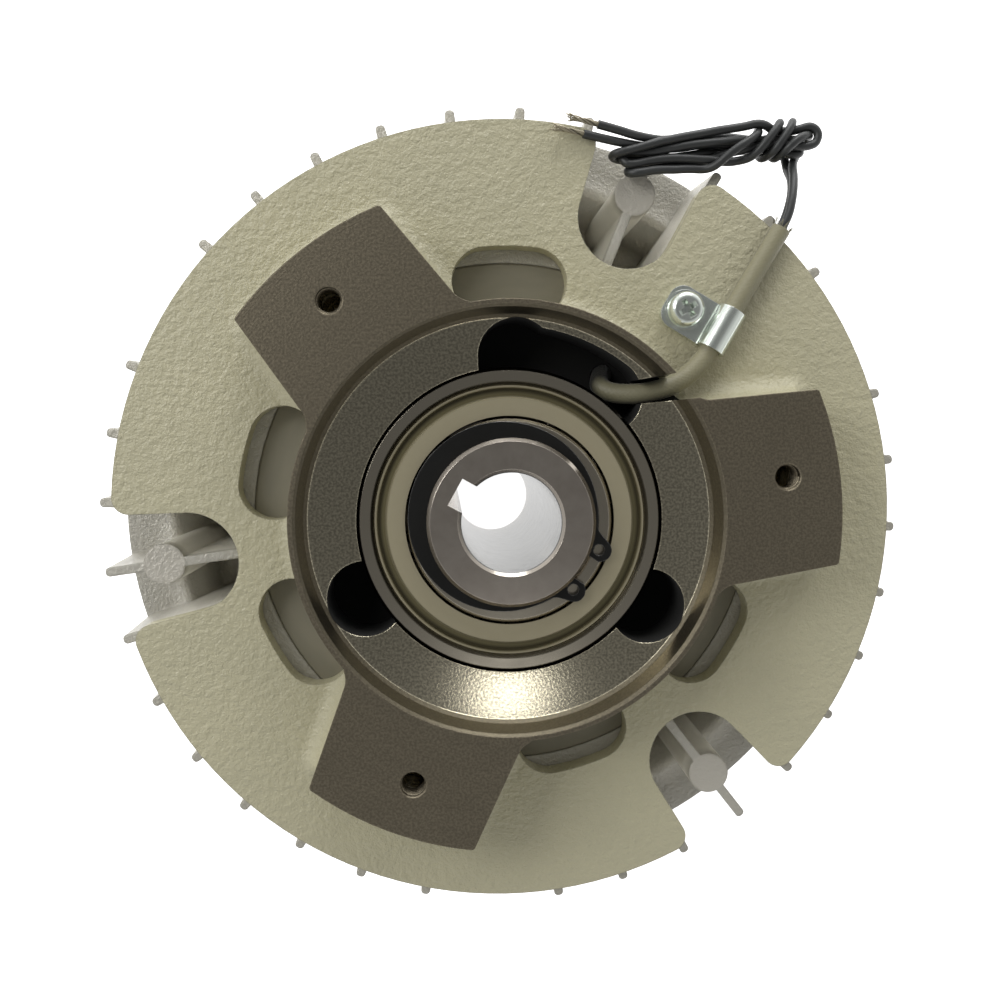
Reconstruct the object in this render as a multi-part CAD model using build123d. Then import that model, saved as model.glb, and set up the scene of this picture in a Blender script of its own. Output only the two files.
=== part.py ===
from build123d import *
import os
from math import asin, cos, degrees, hypot, pi, radians, sin, tan

# Magnetic powder brake with a hollow shaft. Millimetres, +Z out of the mounting face.
# The origin lies on the shaft's axis, in the plane of the three mounting pads.

# Levels along the axis, measured from the mounting plane
SHAFT_END = 0.5         # rear end of the shaft, below the pads' plane
FLANGE_TOP = 15.0       # painted face of the flange
FLANGE_T = 5.0
SHAFT_LENGTH = 89.0
REST_BEYOND_SHAFT = 0.5 # front edges of the fins, on which the brake stands

# Shaft
BORE_D = 20.0
KEY_W = 6.0
KEY_TOP = 12.8          # from the axis to the keyway's floor
KEY_ANGLE = 151.0
JOURNAL_D = 35.0
SHOULDER_D = 42.0
GROOVE_D = 33.0
END_CHAMFER = 0.6

# Bearings, one at each end
BEARING_D = 62.0
BEARING_W = 14.0
BEARING_DEPTH = 5.5     # rear bearing's face below the mounting plane
INNER_RING_D = 41.6
OUTER_RING_BORE = 55.2
BALL_D = 7.94
BALL_PITCH_D = 48.5
BALL_COUNT = 11
BALL_PLAY = 0.06
CAGE_T = 2.2
CAGE_H = 9.8
CAGE_PLAY = 0.15
SHIELD_T = 0.5
RING_CHAMFER = 0.6

# Circlips
CLIP_T = 1.5
CLIP_OFFSET = 0.9       # the ring's outer edge is off centre, away from its gap
CLIP_OUTER_D = 39.6
LUG_PITCH_R = 18.7
LUG_HALF_ANGLE = 15.5
LUG_D = 4.6
LUG_HOLE_D = 2.2
CLIP_GAP_W = 5.2
CLIP_GAP_ANGLE = -33.5

# Rotor and the working gap
ROTOR_R = 34.8
ROTOR_TOP = 29.0
ROTOR_MARGIN = 8.0      # from its front face to the yoke's
RELIEF_R = 30.0         # recess in each face of the rotor
RELIEF_HUB_R = 26.0
RELIEF_DEPTH = 8.0
POWDER_T = 0.8

# Magnet
YOKE_BORE_R = 36.0
YOKE_R = 54.0
YOKE_SEAT_GAP = 0.5     # yoke's front face above the front bearing's
YOKE_PLATE = 10.0       # thickness of each end plate
YOKE_WALL = 4.0
LIP_T = 5.0
GAP_RING_L = 4.0
BOBBIN_WALL = 1.2
COIL_SET_BACK = 0.6
YOKE_STEP = 2.0         # where the front ring enters the rear one
EDGE_CHAMFER = 0.5

# Mounting casting
FLANGE_R = 82.5
HUB_R = 44.0
PAD_R = 66.6
PAD_REACH = 71.6        # where the half width is taken
PAD_HALF_W = 17.4
PAD_FLARE = 2.5         # degrees that each side opens towards the hub
PAD_ANGLE = 8.0
PAD_CORNER = 5.0
PAD_TIP_ROUND = 0.8
FOOT_FILLET = 4.5
REGISTER_MOUTH_R = 43.1
REGISTER_R = 41.5       # foot of its sloping wall
REGISTER_DEPTH = 5.0
REGISTER_CHAMFER = 0.6
REGISTER_ROUND = 0.8
TAP_PITCH_R = 56.0
TAP_ANGLE = 9.3
TAP_D = 5.0
TAP_SINK_D = 5.5
TAP_DEPTH = 13.0
NOTCH_PITCH_R = 67.7
NOTCH_R = 10.6
NOTCH_FLARE = 6.0
NOTCH_CORNER = 3.5
BOSS_ANGLE = 68.0
SLOT_OFFSET = 21.5      # each slot's middle, from its notch
SLOT_OUTER_R = 56.7
SLOT_W = 14.4
SLOT_HALF_ANGLE = 14.0
POCKET_PITCH_R = 33.2
POCKET_R = 7.7
POCKET_ANGLE = 88.0
POCKET_FLOOR = 17.5
LEAD_POCKET_R = 31.7
LEAD_POCKET_W = 15.2
LEAD_POCKET_END = 53.0
CHANNEL_START = 16.0    # along the pad beside it
CHANNEL_END = 46.0
CHANNEL_SIDE = ((14.2, 26.6), (45.8, 31.9))     # its wall away from the pad
CHANNEL_GAP = 0.6       # from the pad's side
SHOULDER_BORE_R = 26.0
SHOULDER_T = 2.0
SEAL_R = 29.0
SEAL_W = 6.0
SEAL_GAP = 0.05
RIM_ROUND = 1.0

# Lead passage, drilled from the pocket's floor to the coil
PASSAGE_D = 4.4
PASSAGE_ANGLE = 56.0
PASSAGE_IN = (34.0, -14.5)
PASSAGE_OUT = (44.6, -31.0)

# Finned housing
FIN_TOP = 20.3
FIN_COUNT = 36
FIN_T = 2.0
FIN_TIP_R = 86.5
FIN_ROOT_R = 56.0
BRIM_R = 90.0
BRIM_HEIGHT = 40.0      # above the front edges of the fins
BRIM_STEP_R = 78.5
TROUGH_R = 72.5
TROUGH_HEIGHT = 24.0
BRIM_EDGE_H = 8.0
BRIM_ROUND = 2.2
TROUGH_FILLET = 4.0
CAST_WALL = 3.4
STEP_RUN = 2.2          # outside of the step, past its inside
DRUM_FOOT = 3.0
DRUM_R = 57.6
WEB_T = 4.0
FRONT_HUB_R = 38.0
FRONT_HUB_LIP = 0.5     # hub past the bearing's face
HUB_DRAFT = 2.0
FRONT_FIN_R = 54.0
FRONT_FIN_STEP = 5.0
FRONT_REST_IN_R = 60.0
FRONT_REST_OUT_R = 78.0
BOSS_R = 74.0
BOSS_D = 8.8
BARE_ANGLES = (28.0, 148.0, 268.0)

# Screws
YOKE_SCREW_R = 45.5
YOKE_SCREW_SPREAD = 12.0
SCREW_D = 5.0
SINK_HEAD_D = 9.6
YOKE_SCREW_L = 18.0
BOLT_R = 45.5
BOLT_COUNT = 6
BOLT_FIRST = 13.0
BOLT_HEAD_D = 8.5
BOLT_HEAD_H = 5.0
BOLT_KEY = 4.0
BOLT_L = 12.0

# Cable clip and its screw, with places in the plane of the flange
SLEEVE_D = 4.2
CLIP_AT = (44.6, 39.2)
CLIP_TURN = 60.0
STRAP_T = 0.8
STRAP_W = 9.4
STRAP_PLAY = 0.1
CLIP_SCREW_OFF = 8.6
CLIP_TAB_END = 13.0
CLIP_SCREW_D = 4.0
CLIP_HEAD_D = 7.0
CLIP_HEAD_H = 2.6
WASHER_D = 8.4
WASHER_T = 0.8
CLIP_THREAD = 4.4

# Leads
LEAD_D = 1.8
STRAND_D = 1.3
STRAND_L = 7.0

SLEEVE_ROUTE = [
    (21.06, 31.22, -20.2),
    (19.73, 29.25, -16.49),
    (19.35, 27.45, -14.2),
    (21.6, 26.0, -12.4),
    (26.5, 25.8, -10.8),
    (31.0, 26.6, -10.4),
    (35.3, 28.2, -10.9),
    (39.2, 31.2, -11.6),
    (42.3, 35.1, -12.0),
    (46.8, 43.2, -12.0),
    (51.9, 51.7, -12.5),
    (57.0, 60.2, -12.7),
]
LEAD_A_ROUTE = [
    (57.01, 60.22, -11.77),
    (58.29, 62.36, -11.82),
    (59.4, 66.8, -12.5),
    (60.3, 71.2, -14.6),
    (60.9, 74.6, -17.6),
    (61.6, 77.4, -20.4),
]
LEAD_B_ROUTE = [
    (56.99, 60.18, -13.63),
    (58.15, 62.1, -13.68),
    (59.9, 67.3, -14.7),
    (60.8, 71.5, -17.4),
    (61.0, 74.4, -21.2),
    (60.3, 78.6, -22.2),
]
END_A_ROUTE = [
    (32.1, 79.6, -17.8),
    (26.9, 79.8, -16.0),
    (22.8, 80.5, -14.4),
    (18.6, 81.3, -13.7),
]
END_B_ROUTE = [
    (28.9, 78.4, -18.3),
    (25.0, 78.2, -16.2),
    (19.9, 78.5, -14.1),
    (15.6, 79.3, -13.6),
]
# Stations along the hank: place on X, middle on Y and Z, half width on Y, half height on Z
HANK_STATIONS = [
    (21.3, 76.6, -17.1, 1.2, 1.4),
    (23.5, 76.4, -17.3, 2.6, 2.7),
    (26.0, 75.5, -17.4, 4.1, 2.7),
    (32.0, 76.3, -17.6, 4.2, 2.5),
    (38.0, 76.9, -17.7, 4.4, 2.4),
    (44.0, 77.9, -17.7, 4.5, 2.6),
    (49.0, 79.0, -17.8, 4.2, 3.7),
    (55.0, 79.3, -17.7, 4.0, 3.7),
    (60.0, 79.8, -18.4, 3.9, 4.5),
    (64.0, 79.9, -18.4, 3.4, 3.6),
    (66.9, 80.5, -17.2, 1.6, 1.6),
]


def at(radius, angle, z=0.0):
    return Vector(radius * cos(radians(angle)), radius * sin(radians(angle)), z)


def thirds(first):
    return [first + 120.0 * i for i in range(3)]


def turned(points):
    """Solid of revolution from an outline in radius and height."""
    outline = make_face(Polyline(*[(r, 0, z) for r, z in points], close=True))
    return revolve(outline, Axis.Z)


def drum(radius, top, bottom):
    return Pos(0, 0, (top + bottom) / 2) * Cylinder(radius, top - bottom)


def prism(sketch, top, bottom):
    return extrude(Pos(0, 0, bottom) * sketch, top - bottom)


def bar(start, end, diameter):
    start, end = Vector(*start), Vector(*end)
    plane = Plane(origin=start, z_dir=end - start)
    return extrude(plane * Circle(diameter / 2), (end - start).length)


# Levels that several pieces share
flange_back = -FLANGE_TOP - FLANGE_T
bearing_top = -BEARING_DEPTH
bearing_bottom = bearing_top - BEARING_W
shaft_top = -SHAFT_END
shaft_bottom = shaft_top - SHAFT_LENGTH
front_face = shaft_bottom + BEARING_DEPTH - SHAFT_END
front_inner = front_face + BEARING_W
yoke_top = flange_back
yoke_bottom = front_inner + YOKE_SEAT_GAP
spigot_bottom = bearing_bottom - SHOULDER_T - SEAL_W
rotor_top = -ROTOR_TOP
rotor_bottom = yoke_bottom + ROTOR_MARGIN
coil_top = yoke_top - YOKE_PLATE
coil_bottom = yoke_bottom + YOKE_PLATE
lip_r = YOKE_BORE_R + LIP_T
coil_r = YOKE_R - YOKE_WALL
gap_middle = (coil_top + coil_bottom) / 2
web_bottom = yoke_bottom - WEB_T
rest_level = shaft_bottom - REST_BEYOND_SHAFT
brim_level = rest_level + BRIM_HEIGHT
trough_level = rest_level + TROUGH_HEIGHT
hub_level = front_face - FRONT_HUB_LIP


def pad_half_width(r):
    """Half the width of a pad at this distance from the shaft, along the pad."""
    return PAD_HALF_W + (PAD_REACH - r) * tan(radians(PAD_FLARE))


def at_pad(along, across):
    """Place beside the right pad, from distances along and across it."""
    turn = radians(PAD_ANGLE)
    return (along * cos(turn) - across * sin(turn), along * sin(turn) + across * cos(turn))


def pad_outline():
    """Hub circle with three pads, rounded where they meet."""
    start, wide = HUB_R / 2, pad_half_width(HUB_R / 2)
    pad = Polygon((start, wide), (start, -wide), (PAD_REACH, -PAD_HALF_W),
                  (PAD_REACH, PAD_HALF_W), align=None)
    arms = Sketch() + [Rot(0, 0, a) * pad for a in thirds(PAD_ANGLE)]
    outline = (arms & Circle(PAD_R)) + Circle(HUB_R)
    tips = [v for v in outline.vertices() if hypot(v.X, v.Y) > PAD_R - 0.1]
    outline = fillet(tips, PAD_TIP_ROUND)
    joins = [v for v in outline.vertices() if hypot(v.X, v.Y) < HUB_R + 0.1]
    return fillet(joins, PAD_CORNER)


def rim_outline():
    """Flange disc with its three notches."""
    reach = FLANGE_R + NOTCH_R - NOTCH_PITCH_R
    near = NOTCH_R / cos(radians(NOTCH_FLARE))
    far = near + reach * tan(radians(NOTCH_FLARE))
    mouth = Polygon((0, -near), (reach, -far), (reach, far), (0, near), align=None)
    notch = Pos(NOTCH_PITCH_R, 0) * (mouth + Circle(NOTCH_R))
    disc = Circle(FLANGE_R) - [Rot(0, 0, a) * notch for a in thirds(BOSS_ANGLE)]
    corners = [v for v in disc.vertices() if hypot(v.X, v.Y) > FLANGE_R - 0.1]
    return fillet(corners, NOTCH_CORNER)


def slot_outline(angle):
    middle = SLOT_OUTER_R - SLOT_W / 2
    half = SLOT_HALF_ANGLE - degrees(asin(SLOT_W / 2 / middle))
    arc = CenterArc((0, 0), middle, angle - half, 2 * half)
    return SlotArc(arc, SLOT_W)


def slot_angles():
    angles = []
    for notch in thirds(BOSS_ANGLE):
        angles += [notch - SLOT_OFFSET, notch + SLOT_OFFSET]
    return angles[1:]


def lead_channel():
    """Way out of the upper pocket, through the hub, down to the flange."""
    pocket_arc = CenterArc((0, 0), LEAD_POCKET_R, LEAD_POCKET_END, POCKET_ANGLE - LEAD_POCKET_END)
    pocket = SlotArc(pocket_arc, LEAD_POCKET_W)
    by_pad = [at_pad(r, pad_half_width(r) + CHANNEL_GAP) for r in (CHANNEL_START, CHANNEL_END)]
    near, far = CHANNEL_SIDE
    groove = prism(Polygon(*by_pad, far, near, align=None), 0, -FLANGE_TOP)
    floor_edges = groove.edges().filter_by_position(Axis.Z, -FLANGE_TOP, -FLANGE_TOP)
    foot = floor_edges.sort_by(lambda e: e.center().Y)[0]
    return prism(pocket, 0, -POCKET_FLOOR) + fillet(foot, FOOT_FILLET)


def passage():
    r_in, z_in = PASSAGE_IN
    r_out, z_out = PASSAGE_OUT
    return bar(at(r_in, PASSAGE_ANGLE, z_in), at(r_out, PASSAGE_ANGLE, z_out), PASSAGE_D)


def clip_screw_place():
    turn = radians(CLIP_TURN)
    x, y = CLIP_AT
    return (x - CLIP_SCREW_OFF * sin(turn), y + CLIP_SCREW_OFF * cos(turn))


def yoke_screw_angles():
    angles = []
    for pad in thirds(PAD_ANGLE):
        angles += [pad - YOKE_SCREW_SPREAD, pad + YOKE_SCREW_SPREAD]
    return angles


def bolt_angles():
    return [BOLT_FIRST + 360.0 / BOLT_COUNT * i for i in range(BOLT_COUNT)]


def mount_housing():
    """Iron casting: flange, hub, pads, register and rear bearing seat."""
    flange = prism(rim_outline(), -FLANGE_TOP, flange_back)
    body = flange + prism(pad_outline(), 0, -FLANGE_TOP)
    foot = [e for e in body.edges() if abs(e.center().Z + FLANGE_TOP) < 0.01
            and hypot(e.center().X, e.center().Y) < PAD_R + 1.0 and not near_notch(e)]
    body = fillet(foot, FOOT_FILLET)
    hub = drum(HUB_R, 0, flange_back)
    for angle in slot_angles():
        body -= prism(slot_outline(angle), 1.0, flange_back - 1.0) - hub
    body += drum(YOKE_BORE_R, flange_back, spigot_bottom)
    body -= turned([
        (0, 1), (REGISTER_MOUTH_R + 1, 1),
        (REGISTER_MOUTH_R - REGISTER_CHAMFER, -REGISTER_CHAMFER),
        (REGISTER_R, REGISTER_ROUND - REGISTER_DEPTH),
        (REGISTER_R - REGISTER_ROUND, -REGISTER_DEPTH), (BEARING_D / 2, -REGISTER_DEPTH),
        (BEARING_D / 2, bearing_bottom), (SHOULDER_BORE_R, bearing_bottom),
        (SHOULDER_BORE_R, bearing_bottom - SHOULDER_T), (SEAL_R, bearing_bottom - SHOULDER_T),
        (SEAL_R, spigot_bottom - 1), (0, spigot_bottom - 1)])
    for angle in thirds(POCKET_ANGLE):
        body -= Pos(*at(POCKET_PITCH_R, angle)) * drum(POCKET_R, 0, -POCKET_FLOOR)
    body -= lead_channel() + passage()
    for angle in thirds(TAP_ANGLE):
        body -= Pos(*at(TAP_PITCH_R, angle)) * tapped_hole()
    for angle in yoke_screw_angles():
        start = flange_back - YOKE_PLATE
        body -= Pos(*at(YOKE_SCREW_R, angle)) * drum(SCREW_D / 2, start + YOKE_SCREW_L + 1, start)
    body -= Pos(*clip_screw_place()) * drum(CLIP_SCREW_D / 2, -FLANGE_TOP, flange_back)
    return body


def near_notch(edge):
    """True for the edges of the notches, which stay sharp."""
    middle = edge.center()
    return any(hypot(middle.X - at(NOTCH_PITCH_R, a).X, middle.Y - at(NOTCH_PITCH_R, a).Y)
               < NOTCH_R + 0.5 for a in thirds(BOSS_ANGLE))


def tapped_hole():
    sink = (TAP_SINK_D - TAP_D) / 2
    return turned([(0, 0), (TAP_SINK_D / 2, 0), (TAP_D / 2, -sink), (TAP_D / 2, -TAP_DEPTH),
                   (0, -TAP_DEPTH - TAP_D / 4)])


def yoke_rear():
    ring = turned([
        (YOKE_BORE_R, yoke_top), (YOKE_R - EDGE_CHAMFER, yoke_top),
        (YOKE_R, yoke_top - EDGE_CHAMFER), (YOKE_R, coil_bottom - YOKE_STEP),
        (coil_r, coil_bottom - YOKE_STEP), (coil_r, coil_top), (lip_r, coil_top),
        (lip_r, gap_middle + GAP_RING_L / 2), (YOKE_BORE_R, gap_middle + GAP_RING_L / 2)])
    ring -= passage()
    for angle in yoke_screw_angles():
        ring -= Pos(*at(YOKE_SCREW_R, angle, coil_top)) * sunk_hole()
    return ring


def sunk_hole():
    sink = (SINK_HEAD_D - SCREW_D) / 2
    return turned([(0, 0), (SINK_HEAD_D / 2, 0), (SCREW_D / 2, sink), (SCREW_D / 2, YOKE_PLATE),
                   (0, YOKE_PLATE)])


def yoke_screws():
    """Countersunk screws from the coil space into the pads."""
    sink = (SINK_HEAD_D - SCREW_D) / 2
    screw = turned([(0, 0), (SINK_HEAD_D / 2, 0), (SCREW_D / 2, sink),
                    (SCREW_D / 2, YOKE_SCREW_L), (0, YOKE_SCREW_L)])
    screw -= prism(RegularPolygon(SCREW_D / 3, 6), sink, 0)
    return [Pos(*at(YOKE_SCREW_R, a, coil_top)) * screw for a in yoke_screw_angles()]


def yoke_front():
    ring = turned([
        (YOKE_BORE_R, yoke_bottom), (YOKE_R, yoke_bottom), (YOKE_R, coil_bottom - YOKE_STEP),
        (coil_r, coil_bottom - YOKE_STEP), (coil_r, coil_bottom), (lip_r, coil_bottom),
        (lip_r, gap_middle - GAP_RING_L / 2), (YOKE_BORE_R, gap_middle - GAP_RING_L / 2)])
    depth = BOLT_L - WEB_T + 1.0
    for angle in bolt_angles():
        ring -= Pos(*at(BOLT_R, angle)) * drum(SCREW_D / 2, yoke_bottom + depth, yoke_bottom)
    return ring


def gap_ring():
    top = gap_middle + GAP_RING_L / 2
    return drum(lip_r, top, top - GAP_RING_L) - drum(YOKE_BORE_R, top, top - GAP_RING_L)


def coil_bobbin():
    wall = lip_r + BOBBIN_WALL
    return turned([
        (lip_r, coil_top), (coil_r, coil_top), (coil_r, coil_top - BOBBIN_WALL),
        (wall, coil_top - BOBBIN_WALL), (wall, coil_bottom + BOBBIN_WALL),
        (coil_r, coil_bottom + BOBBIN_WALL), (coil_r, coil_bottom), (lip_r, coil_bottom)])


def coil_winding():
    top, bottom = coil_top - BOBBIN_WALL, coil_bottom + BOBBIN_WALL
    return drum(coil_r - COIL_SET_BACK, top, bottom) - drum(lip_r + BOBBIN_WALL, top, bottom)


def magnetic_powder():
    return (drum(YOKE_BORE_R, rotor_top, rotor_bottom)
            - drum(YOKE_BORE_R - POWDER_T, rotor_top, rotor_bottom))


def seal(top, sign):
    """Rubber ring with a lip towards the rotor; sign is 1 at the rear, -1 at the front."""
    shaft_r = SHOULDER_D / 2 + SEAL_GAP
    body = [(SEAL_R, 0), (SEAL_R, SEAL_W), (SEAL_R - 2.0, SEAL_W), (SEAL_R - 2.0, 2.0),
            (shaft_r + 2.4, 2.0), (shaft_r + 1.2, SEAL_W - 0.5), (shaft_r, SEAL_W - 1.5),
            (shaft_r + 0.8, 0)]
    return turned([(r, top - sign * z) for r, z in body])


def hollow_shaft():
    groove_top = bearing_top + CLIP_T
    low_groove = front_face - CLIP_T
    journal, wide, groove = JOURNAL_D / 2, SHOULDER_D / 2, GROOVE_D / 2
    bore = BORE_D / 2
    shaft = turned([
        (bore + END_CHAMFER, shaft_top), (journal - END_CHAMFER, shaft_top),
        (journal, shaft_top - END_CHAMFER), (journal, groove_top), (groove, groove_top),
        (groove, bearing_top), (journal, bearing_top), (journal, bearing_bottom),
        (wide, bearing_bottom), (wide, front_inner), (journal, front_inner),
        (journal, front_face), (groove, front_face), (groove, low_groove),
        (journal, low_groove), (journal, shaft_bottom + END_CHAMFER),
        (journal - END_CHAMFER, shaft_bottom), (bore + END_CHAMFER, shaft_bottom),
        (bore, shaft_bottom + END_CHAMFER), (bore, shaft_top - END_CHAMFER)])
    key = Rot(0, 0, KEY_ANGLE) * Pos(KEY_TOP / 2, 0) * Rectangle(KEY_TOP, KEY_W)
    return shaft - prism(key, shaft_top + 1, shaft_bottom - 1)


def rotor_drum():
    relief_top = rotor_top - RELIEF_DEPTH
    relief_bottom = rotor_bottom + RELIEF_DEPTH
    return turned([
        (SHOULDER_D / 2, rotor_top), (RELIEF_HUB_R, rotor_top), (RELIEF_HUB_R, relief_top),
        (RELIEF_R, relief_top), (RELIEF_R, rotor_top), (ROTOR_R, rotor_top),
        (ROTOR_R, rotor_bottom), (RELIEF_R, rotor_bottom), (RELIEF_R, relief_bottom),
        (RELIEF_HUB_R, relief_bottom), (RELIEF_HUB_R, rotor_bottom),
        (SHOULDER_D / 2, rotor_bottom)])


def circlip():
    """Eccentric external ring with two pierced lugs, lying from z 0 up to its thickness."""
    away = CLIP_GAP_ANGLE + 180.0
    centre = at(CLIP_OFFSET, away)
    ring = Pos(centre.X, centre.Y) * Circle(CLIP_OUTER_D / 2)
    for side in (-1, 1):
        place = at(LUG_PITCH_R, CLIP_GAP_ANGLE + side * LUG_HALF_ANGLE)
        ring += Pos(place.X, place.Y) * Circle(LUG_D / 2)
    gap = Rot(0, 0, CLIP_GAP_ANGLE) * Pos(CLIP_OUTER_D / 2, 0) * Rectangle(CLIP_OUTER_D, CLIP_GAP_W)
    ring -= gap
    ring -= Circle(GROOVE_D / 2)
    for side in (-1, 1):
        place = at(LUG_PITCH_R, CLIP_GAP_ANGLE + side * LUG_HALF_ANGLE)
        ring -= Pos(place.X, place.Y) * Circle(LUG_HOLE_D / 2)
    return extrude(ring, CLIP_T)


def race_ring(inside, outside, top, bottom):
    """Bearing ring with a ball groove, its edges chamfered."""
    c = RING_CHAMFER
    ring = turned([
        (inside + c, top), (outside - c, top), (outside, top - c), (outside, bottom + c),
        (outside - c, bottom), (inside + c, bottom), (inside, bottom + c), (inside, top - c)])
    track = Torus(BALL_PITCH_D / 2, BALL_D / 2 + BALL_PLAY)
    return ring - Pos(0, 0, (top + bottom) / 2) * track


def bearing_shields(top, bottom):
    inside, step = INNER_RING_D / 2 + 0.2, OUTER_RING_BORE / 2 - 2.6
    outside, drop = OUTER_RING_BORE / 2, 0.5
    t = SHIELD_T
    rear = turned([
        (inside, top - drop), (step, top - drop), (step + 0.4, top - drop - t),
        (outside, top - drop - t), (outside, top - drop - 2 * t),
        (step, top - drop - 2 * t), (step - 0.3, top - drop - t), (inside, top - drop - t)])
    return [rear, mirrored(rear, (top + bottom) / 2)]


def mirrored(shape, level):
    return mirror(shape, Plane.XY.offset(level))


def bearing_balls(top, bottom):
    middle = (top + bottom) / 2
    step = 360.0 / BALL_COUNT
    return [Pos(*at(BALL_PITCH_D / 2, step * i, middle)) * Sphere(BALL_D / 2)
            for i in range(BALL_COUNT)]


def bearing_cage(top, bottom):
    middle = (top + bottom) / 2
    top, bottom = middle + CAGE_H / 2, middle - CAGE_H / 2
    ring = (drum((BALL_PITCH_D + CAGE_T) / 2, top, bottom)
            - drum((BALL_PITCH_D - CAGE_T) / 2, top, bottom))
    step = 360.0 / BALL_COUNT
    for i in range(BALL_COUNT):
        place = at(BALL_PITCH_D / 2, step * i, middle)
        pocket = Rot(0, 0, step * i) * Rot(0, 90, 0) * Cylinder(BALL_D / 2 + CAGE_PLAY, 2 * CAGE_T)
        ring -= Pos(*place) * pocket
    return ring


def fin_outline():
    """One fin in radius and height, from the drum out to its tip and down to the rest level."""
    return make_face(Polyline(*[(r, 0, z) for r, z in [
        (FIN_ROOT_R, -FIN_TOP), (FIN_TIP_R, -FIN_TOP), (BRIM_R, brim_level),
        (BRIM_R, brim_level - BRIM_EDGE_H), (FRONT_REST_OUT_R, rest_level),
        (FRONT_REST_IN_R, rest_level), (FRONT_FIN_R, rest_level + FRONT_FIN_STEP),
        (FRONT_FIN_R, yoke_bottom), (FIN_ROOT_R, yoke_bottom)]], close=True))


def fin():
    plate = extrude(fin_outline(), FIN_T / 2, both=True)
    tips = [e for e in plate.edges() if abs(abs(e.center().Y) - FIN_T / 2) < 0.01
            and e.center().X > min(FIN_TIP_R, BRIM_R) - 0.1 and e.length > FIN_T]
    return fillet(tips, FIN_T / 2 - 0.15)


def fin_angles():
    step = 360.0 / FIN_COUNT
    angles = [PAD_ANGLE + step * i for i in range(FIN_COUNT)]
    return [a for a in angles if all(abs((a - b + 180) % 360 - 180) > 1 for b in BARE_ANGLES)]


def rings_at(shape, places):
    """Circular edges about the axis at these radii and levels."""
    return [e for e in shape.edges().filter_by(GeomType.CIRCLE)
            if any(abs(e.radius - r) < 0.01 and abs(e.center().Z - z) < 0.01 for r, z in places)]


def finned_housing():
    """Aluminium casting: drum, trough, brim, web, front bearing seat, bosses and fins."""
    shell = turned([
        (YOKE_R, -FIN_TOP), (DRUM_R, -FIN_TOP), (DRUM_R, trough_level),
        (TROUGH_R, trough_level), (BRIM_STEP_R, brim_level), (BRIM_R, brim_level),
        (BRIM_R, brim_level - CAST_WALL), (BRIM_STEP_R + STEP_RUN, brim_level - CAST_WALL),
        (TROUGH_R + STEP_RUN, trough_level - CAST_WALL), (DRUM_R + DRUM_FOOT, web_bottom),
        (FRONT_HUB_R + HUB_DRAFT, web_bottom), (FRONT_HUB_R, hub_level),
        (BEARING_D / 2 + EDGE_CHAMFER, hub_level),
        (BEARING_D / 2, hub_level + EDGE_CHAMFER), (BEARING_D / 2, front_inner),
        (SHOULDER_BORE_R, front_inner), (SHOULDER_BORE_R, front_inner + SHOULDER_T),
        (SEAL_R, front_inner + SHOULDER_T), (SEAL_R, front_inner + SHOULDER_T + SEAL_W),
        (YOKE_BORE_R, front_inner + SHOULDER_T + SEAL_W), (YOKE_BORE_R, yoke_bottom),
        (YOKE_R, yoke_bottom)])
    inside = [(TROUGH_R, trough_level), (DRUM_R, trough_level)]
    shell = fillet(rings_at(shell, inside), TROUGH_FILLET)
    shell = fillet(rings_at(shell, [(BRIM_STEP_R, brim_level)]), BRIM_ROUND)
    for angle in bolt_angles():
        shell -= Pos(*at(BOLT_R, angle)) * drum(SCREW_D / 2, yoke_bottom, web_bottom)
    blade = fin()
    parts = [Rot(0, 0, a) * blade for a in fin_angles()]
    post = drum(BOSS_D / 2, -FIN_TOP, trough_level - CAST_WALL)
    parts += [Pos(*at(BOSS_R, a)) * post for a in thirds(BOSS_ANGLE)]
    return shell + parts


def housing_bolts():
    screw = drum(SCREW_D / 2, BOLT_L, 0)
    head = drum(BOLT_HEAD_D / 2, 0, -BOLT_HEAD_H)
    key = prism(RegularPolygon(BOLT_KEY / 2, 6), -BOLT_HEAD_H / 2, -BOLT_HEAD_H)
    bolt = screw + head - key
    return [Pos(*at(BOLT_R, a, web_bottom)) * bolt for a in bolt_angles()]


def clip_frame():
    """Plane across the sleeve at the clip: X towards the screw, Y up from the flange."""
    turn = radians(CLIP_TURN)
    x, y = CLIP_AT
    return Plane(origin=(x, y, -FLANGE_TOP), x_dir=(-sin(turn), cos(turn), 0),
                 z_dir=(cos(turn), sin(turn), 0))


def cable_clip():
    inner = SLEEVE_D / 2 + STRAP_PLAY
    outer = inner + STRAP_T
    ring = Pos(0, outer) * Circle(outer)
    low = Pos(CLIP_TAB_END / 2, STRAP_T / 2) * Rectangle(CLIP_TAB_END, STRAP_T)
    start = outer - STRAP_T / 2
    high = (Pos((start + CLIP_TAB_END) / 2, 1.5 * STRAP_T)
            * Rectangle(CLIP_TAB_END - start, STRAP_T))
    section = ring + low + high - Pos(0, outer) * Circle(inner)
    frame = clip_frame()
    strap = extrude(frame * section, STRAP_W / 2, both=True)
    corners = strap.edges().filter_by(Axis.Z).sort_by_distance(frame.origin)[-2:]
    strap = fillet(corners, STRAP_W / 3)
    return strap - Pos(*clip_screw_place()) * drum(CLIP_SCREW_D / 2, 0, -FLANGE_TOP)


def clip_washer():
    top = -FLANGE_TOP + 2 * STRAP_T + WASHER_T
    disc = drum(WASHER_D / 2, top, top - WASHER_T)
    return Pos(*clip_screw_place()) * (disc - drum(CLIP_SCREW_D / 2, top, top - WASHER_T))


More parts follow.
